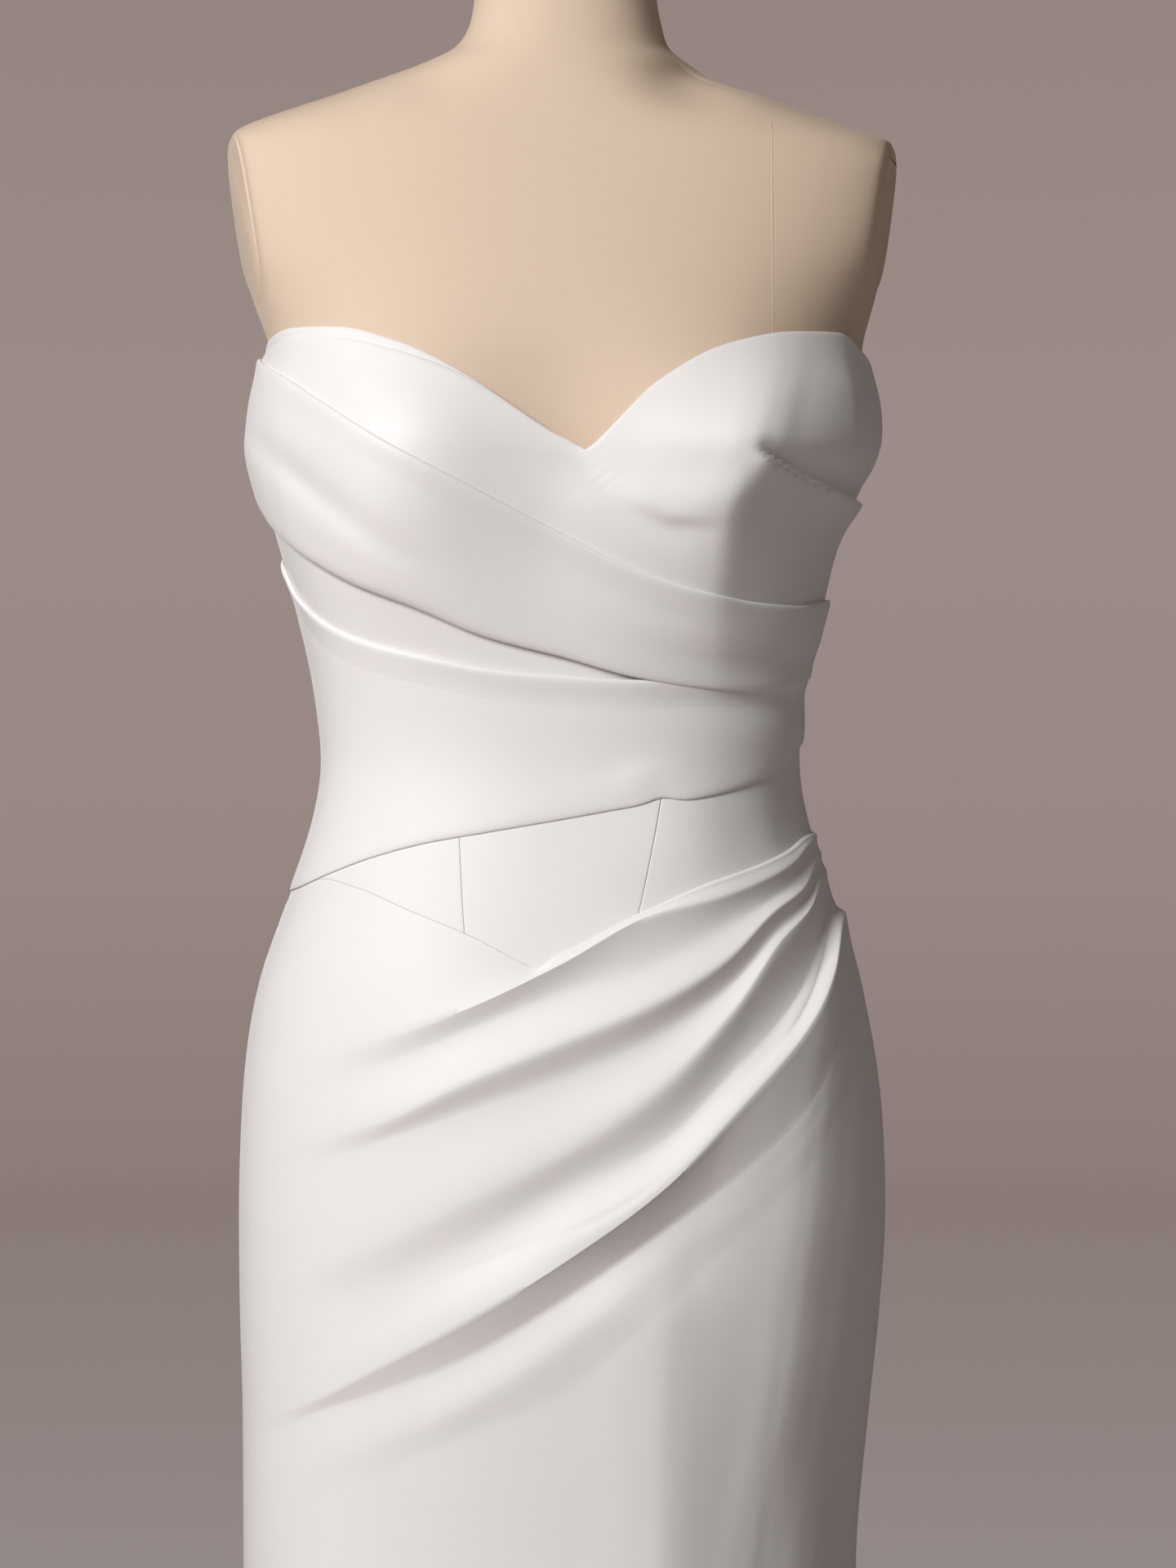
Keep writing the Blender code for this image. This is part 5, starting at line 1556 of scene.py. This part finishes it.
@dataclass
class DressForm:
    """Limbless torso in jersey with flat arm plates and a shaped seam."""

    wardrobe: Wardrobe
    under_cloth: float = 0.0008
    dress_top: float = 1.300
    plate_thickness: float = 0.004
    plate_gap: float = -0.0034           # the torso's own flat lies under the plate's face
    plate_inset: float = 0.0045
    plate_foot: float = 1.308
    plate_fade: float = 0.02             # over which the cut of an arm dies out downward
    corner: float = 0.0036               # softness of the torso's edge round each arm
    corner_reach: float = 8.0            # how many times that far in the softness goes
    plate_corner: float = 0.0005
    plate_edge_turn: float = 50.0        # degrees; a plate's edges that turn more are rounded
    neck_hollow: tuple[float, float] = (0.003, 0.015)    # depth to the right and the left
    neck_hollow_at: tuple[float, float] = (0.070, 1.452)
    neck_hollow_reach: tuple[float, float] = (0.024, 0.014)
    neck_hollow_fade: float = 0.03       # over which it dies out towards the sides
    seam_across: float = 0.1125          # from the centre line
    seam_foot: float = 1.270
    seam_head: float = 1.428
    seam_half_width: float = 0.0004
    seam_height: float = 0.00006
    seam_rows: int = 60

    def surface(self, inset: float) -> np.ndarray:
        """The torso's points before the arms are cut flat.

        Args:
            inset: how far it is drawn in where it shows, in metres.

        Returns:
            Rows of points.
        """
        angles = np.arange(-180.0, 180.0, COLUMN_STEP)
        heights = np.concatenate([np.arange(*band) for band in TORSO_BANDS])[:, None]
        drawn = np.where(heights < self.dress_top, self.under_cloth, inset)
        places = FORM_FIGURE.points(angles[None, :], heights, -drawn)
        x, y, height = np.moveaxis(places, -1, 0)
        away = (height - self.neck_hollow_at[1]) / self.neck_hollow_reach[1]
        for side, depth in zip((-1, 1), self.neck_hollow):
            across = (side * x - self.neck_hollow_at[0]) / self.neck_hollow_reach[0]
            places[..., 1] += (depth * np.exp(-across ** 2 - away ** 2)
                               * np.clip(-y / self.neck_hollow_fade, 0, 1))
        return places

    def build(self) -> None:
        """Build the torso, its two plates and the shaped seam."""
        places = self.surface(0.0)
        recess = self.plate_thickness + self.plate_gap
        for plane in (ARM_RIGHT, ARM_LEFT):
            past = plane.past(places) + recess
            kept = 0.5 * (past - np.sqrt(past ** 2 + self.corner ** 2))
            shift = np.where(past > -self.corner_reach * self.corner, kept - past, 0.0)
            shift = shift * ease((places[..., 2] - self.plate_foot + self.plate_fade)
                                 / self.plate_fade)
            places = places + shift[..., None] * plane.normal()
        torso = finish_object("dress_form_torso", closed_tube(places))
        self.wardrobe.dress(torso, Finish.JERSEY)
        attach(torso, ROOT_BODY)
        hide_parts("form_torso")
        for plane, label in ((ARM_RIGHT, "right"), (ARM_LEFT, "left")):
            self.build_plate(plane, label)
        self.build_seam()
        LOG.info("dress form: torso, two arm plates and a shaped seam")

    def build_seam(self) -> None:
        """The fine ridge of the shaped seam down the torso's left front."""
        heights = np.linspace(self.seam_head, self.seam_foot, self.seam_rows)
        across = self.seam_across + self.seam_half_width * np.array((-1.0, -0.4, 0.4, 1.0))
        half = FORM_FIGURE.profile("left", heights)[:, None]
        angles = np.degrees(np.arcsin((across[None, :] / half) ** (1 / FORM_FIGURE.plan_power)))
        rise = np.array((0.0, self.seam_height, self.seam_height, 0.0)) / MM
        grid = ClothGrid("dress_form_seam", angles, np.tile(heights[:, None] / MM, 4),
                         np.tile(rise, (len(heights), 1)), wall=0.0002)
        seam = grid.build(FORM_FIGURE)
        self.wardrobe.dress(seam, Finish.JERSEY)
        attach(seam, ROOT_BODY)

    def build_plate(self, plane: ArmPlane, label: str) -> None:
        """A flat plate cut from the torso's outline.

        Args:
            plane: the plate's face.
            label: "right" or "left".
        """
        bm = closed_tube(self.surface(self.plate_inset))
        centre = Vector((plane.side * plane.out, 0.0, plane.at))
        normal = Vector(plane.normal())
        cuts = ((Vector((0.0, 0.0, self.plate_foot)), Vector((0.0, 0.0, -1.0))),
                (centre, normal),
                (centre - normal * self.plate_thickness, -normal))
        for place, way in cuts:
            found = bmesh.ops.bisect_plane(bm, geom=bm.verts[:] + bm.edges[:] + bm.faces[:],
                                           plane_co=place, plane_no=way, clear_outer=True)
            rim = [part for part in found["geom_cut"] if isinstance(part, bmesh.types.BMEdge)]
            bmesh.ops.holes_fill(bm, edges=rim, sides=0)
        sharp = math.radians(self.plate_edge_turn)
        rim = [edge for edge in bm.edges if edge.is_manifold and edge.calc_face_angle() > sharp]
        bmesh.ops.bevel(bm, geom=rim, offset=self.plate_corner, segments=4, profile=0.5,
                        affect="EDGES", material=-1)
        plate = finish_object("dress_form_arm_plate_" + label, bm)
        self.wardrobe.dress(plate, Finish.JERSEY)
        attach(plate, ROOT_BODY)
        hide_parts("form_arm_plate_" + label)


@dataclass
class Stand:
    """Neck cap, flange, pole, socket and round base plate."""

    wardrobe: Wardrobe
    pole: float = 0.0150
    base: float = 0.170
    base_thickness: float = 0.014
    socket: float = 0.026
    socket_height: float = 0.034
    socket_edge: tuple[float, float] = (0.004, 0.0012)   # long and short way of its two cuts
    pole_edge: float = 0.0006
    base_round: float = 0.003
    base_foot_edge: float = 0.0008
    flange: float = 0.045
    flange_rim: float = 0.004
    flange_cone: tuple[float, float] = (0.030, 0.006)    # radius and depth where it begins
    flange_depth: float = 0.010
    flange_collar: float = 0.006
    clearance: float = 0.0003
    torso_foot: float = 0.780
    cap: float = 0.0475
    cap_foot: float = 1.5453
    cap_thickness: float = 0.014
    cap_round: float = 0.006
    cap_centre: tuple[float, float] = (0.002, 0.0015)

    def turned(self, name: str, profile: Sequence[tuple[float, float]], node: str, finish: Finish,
               centre: tuple[float, float] = (0.0, 0.0), sides: int = 96) -> None:
        """Spin a profile into a solid and dress it.

        Args:
            name: the piece's name.
            profile: (radius, height) points, in metres.
            node: the solid that it replaces.
            finish: its finish.
            centre: place of its axis.
            sides: steps of one turn.
        """
        bm = bmesh.new()
        verts = [bm.verts.new((radius, 0.0, height)) for radius, height in profile]
        edges = [bm.edges.new(pair) for pair in zip(verts, verts[1:])]
        bmesh.ops.spin(bm, geom=verts + edges, cent=(0, 0, 0), axis=(0, 0, 1),
                       angle=2 * math.pi, steps=sides, use_merge=True)
        bmesh.ops.remove_doubles(bm, verts=bm.verts, dist=MERGED)
        bmesh.ops.recalc_face_normals(bm, faces=bm.faces)
        bmesh.ops.translate(bm, verts=bm.verts, vec=(*centre, 0.0))
        if finish is Finish.JERSEY:
            cloth_map = bm.loops.layers.uv.new(ClothGrid.MAP)
            for face in bm.faces:
                for loop in face.loops:
                    loop[cloth_map].uv = loop.vert.co.xy
        piece = finish_object(name, bm, sharp_from=30.0)
        self.wardrobe.dress(piece, finish)
        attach(piece, ROOT_BODY)
        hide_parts(node)

    @staticmethod
    def rounded(radius: float, top: float, size: float, step: int) -> list[tuple[float, float]]:
        """Round an upper edge.

        Args:
            radius: metres from the axis.
            top: height of the top face.
            size: radius of the rounding.
            step: degrees between two points.

        Returns:
            (radius, height) points from the top face outward.
        """
        turns = [math.radians(turn) for turn in range(0, 91, step)]
        return [(radius - size + size * math.sin(turn), top - size + size * math.cos(turn))
                for turn in turns]

    def build(self) -> None:
        """Build the five turned pieces."""
        top = self.cap_foot + self.cap_thickness
        self.turned("neck_cap", ((0.0, top), *self.rounded(self.cap, top, self.cap_round, 15),
                                 (self.cap, self.cap_foot), (0.0, self.cap_foot)),
                    "form_neck_cap", Finish.JERSEY, self.cap_centre)
        flange_top = self.torso_foot - self.clearance
        flange_foot = flange_top - self.flange_depth
        cone, cone_depth = self.flange_cone
        self.turned("flange", ((0.0, flange_top), (self.flange, flange_top),
                               (self.flange, flange_top - self.flange_rim),
                               (cone, flange_top - cone_depth),
                               (self.pole + self.flange_collar, flange_foot),
                               (0.0, flange_foot)), "stand_flange", Finish.STEEL)
        foot = self.base_thickness + self.clearance
        top = flange_foot - self.clearance
        self.turned("pole", ((0.0, top), (self.pole - self.pole_edge, top),
                             (self.pole, top - self.pole_edge), (self.pole, foot),
                             (0.0, foot)), "stand_pole", Finish.STEEL)
        bore = self.pole + self.clearance
        head = foot + self.socket_height
        wide, narrow = self.socket_edge
        self.turned("socket", ((bore, head), (self.socket - wide, head),
                               (self.socket - narrow, head - narrow), (self.socket, head - wide),
                               (self.socket, foot), (bore, foot), (bore, head)),
                    "stand_socket", Finish.STEEL)
        top = self.base_thickness
        edge = self.base_foot_edge
        self.turned("base_plate", ((0.0, top), *self.rounded(self.base, top, self.base_round, 18),
                                   (self.base, edge), (self.base - edge, 0.0), (0.0, 0.0)),
                    "stand_base", Finish.STEEL, sides=160)
        LOG.info("stand: five turned pieces")


# ---------------------------------------------------------------------------
# Studio
# ---------------------------------------------------------------------------

@dataclass(frozen=True)
class Lamp:
    """A square soft light that faces the dress."""

    name: str
    azimuth: float                       # degrees from straight in front, towards +X
    elevation: float                     # degrees above the aim
    far: float                           # metres from the aim
    size: float                          # metres across
    power: float                         # watts
    colour: Colour

    def hang(self, aim: Vector) -> None:
        """Add the light to the scene, turned to the aim.

        Args:
            aim: the point that it faces.
        """
        data = bpy.data.lights.new(self.name, "AREA")
        data.shape = "SQUARE"
        data.size = self.size
        data.energy = self.power
        data.color = self.colour
        turn, rise = math.radians(self.azimuth), math.radians(self.elevation)
        way = Vector((math.sin(turn) * math.cos(rise), -math.cos(turn) * math.cos(rise),
                      math.sin(rise)))
        lamp = bpy.data.objects.new(self.name, data)
        lamp.location = aim + way * self.far
        lamp.rotation_euler = way.to_track_quat("Z", "Y").to_euler()
        bpy.context.scene.collection.objects.link(lamp)


LAMPS = (
    Lamp("key_light", -36.0, 25.0, 3.3, 1.1, 103.0, (1.0, 0.980, 0.982)),
    Lamp("right_reflector", 72.0, 15.0, 1.15, 0.5, 0.5, (1.0, 0.93, 0.88)),
    Lamp("back_reflector", -172.0, 3.0, 3.4, 1.6, 32.0, (1.0, 0.975, 0.955)),
)
# The backdrop's colour, from its foot to its head, with painted shade: a darker band low down and a
# darker head stand in for how it is lit
BACKDROP_PAINTED_SHADE = ((0.0, (0.296, 0.255, 0.247)), (0.24, (0.252, 0.198, 0.184)),
            (0.45, (0.312, 0.244, 0.226)), (0.70, (0.334, 0.264, 0.244)),
            (1.0, (0.296, 0.232, 0.215)))


@dataclass
class Studio:
    """Camera, soft lights and a plain pale floor."""

    camera_place: tuple[float, float, float] = (0.01422, -3.4, 1.07389)
    lens: float = 143.44
    aim: tuple[float, float, float] = (0.0, 0.0, 1.10)
    floor_radius: float = 4.6
    floor_top: float = -0.0004           # just under the base plate
    floor_colour: Colour = (0.46, 0.42, 0.40)
    floor_roughness: float = 0.9
    backdrop_band: float = 0.13          # sine of the backdrop's ends above and below level
    fill_colour: Colour = (0.092, 0.079, 0.071)

    def build(self) -> None:
        """Build the camera, the lights, the floor and the backdrop's colour."""
        camera = bpy.data.objects.new("camera", bpy.data.cameras.new("camera"))
        camera.data.lens = self.lens
        camera.location = self.camera_place
        camera.rotation_euler = (math.pi / 2, 0.0, 0.0)
        bpy.context.scene.collection.objects.link(camera)
        bpy.context.scene.camera = camera
        for lamp in LAMPS:
            lamp.hang(Vector(self.aim))
        self.floor()
        self.world()
        bpy.context.scene.view_settings.view_transform = "Standard"

    def floor(self) -> None:
        """A plain pale disc under the stand."""
        bm = bmesh.new()
        bmesh.ops.create_circle(bm, cap_ends=True, segments=128, radius=self.floor_radius,
                                matrix=Matrix.Translation((0.0, 0.0, self.floor_top)))
        floor = finish_object("floor", bm)
        material = bpy.data.materials.new("pale_floor")
        material.use_nodes = True
        shader = material.node_tree.nodes["Principled BSDF"]
        shader.inputs["Base Color"].default_value = (*self.floor_colour, 1.0)
        shader.inputs["Roughness"].default_value = self.floor_roughness
        floor.data.materials.append(material)

    def world(self) -> None:
        """A warm grey seen by the camera, with painted shade that darkens it in a band low down and
        at its head, and a weak plain fill.
        """
        world = bpy.data.worlds.new("studio")
        world.use_nodes = True
        bpy.context.scene.world = world
        wiring = Wiring(world.node_tree)
        way = wiring.add("ShaderNodeTexCoord")
        split = wiring.add("ShaderNodeSeparateXYZ", {0: way.outputs["Generated"]})
        share = wiring.add("ShaderNodeMapRange", {
            "Value": split.outputs["Z"], "From Min": -self.backdrop_band,
            "From Max": self.backdrop_band})
        # The ramp paints shade into what the camera sees of the backdrop
        ramp = wiring.add("ShaderNodeValToRGB", {0: share.outputs[0]})
        while len(ramp.color_ramp.elements) < len(BACKDROP_PAINTED_SHADE):
            ramp.color_ramp.elements.new(0.5)
        for element, (place, colour) in zip(ramp.color_ramp.elements, BACKDROP_PAINTED_SHADE):
            element.position = place
            element.color = (*colour, 1.0)
        seen = wiring.add("ShaderNodeBackground", {"Color": ramp.outputs[0], "Strength": 1.0})
        fill = wiring.add("ShaderNodeBackground", {"Color": (*self.fill_colour, 1.0),
                                                   "Strength": 1.0})
        ray = wiring.add("ShaderNodeLightPath")
        mixed = wiring.add("ShaderNodeMixShader", {0: ray.outputs["Is Camera Ray"],
                                                   1: fill.outputs[0], 2: seen.outputs[0]})
        wiring.add("ShaderNodeOutputWorld", {"Surface": mixed.outputs[0]})


def main() -> None:
    """Build the dress, its form, its stand and the studio, in that order."""
    logging.basicConfig(level=logging.INFO, format="%(name)s: %(message)s")
    wardrobe = Wardrobe()
    bodice = Bodice(wardrobe)
    form = DressForm(wardrobe)
    form.build()
    bodice.build()
    Skirt(bodice).build()
    ZipSewing(bodice).build()
    Stand(wardrobe).build()
    for node in ("zip_slider", "zip_pull"):
        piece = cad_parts[node]
        for place in piece.material_slots:
            place.material = wardrobe.materials[Finish.NICKEL]
        LOG.info("%s keeps its solid, in nickel", node)
    Studio().build()


if __name__ == "__main__":
    main()
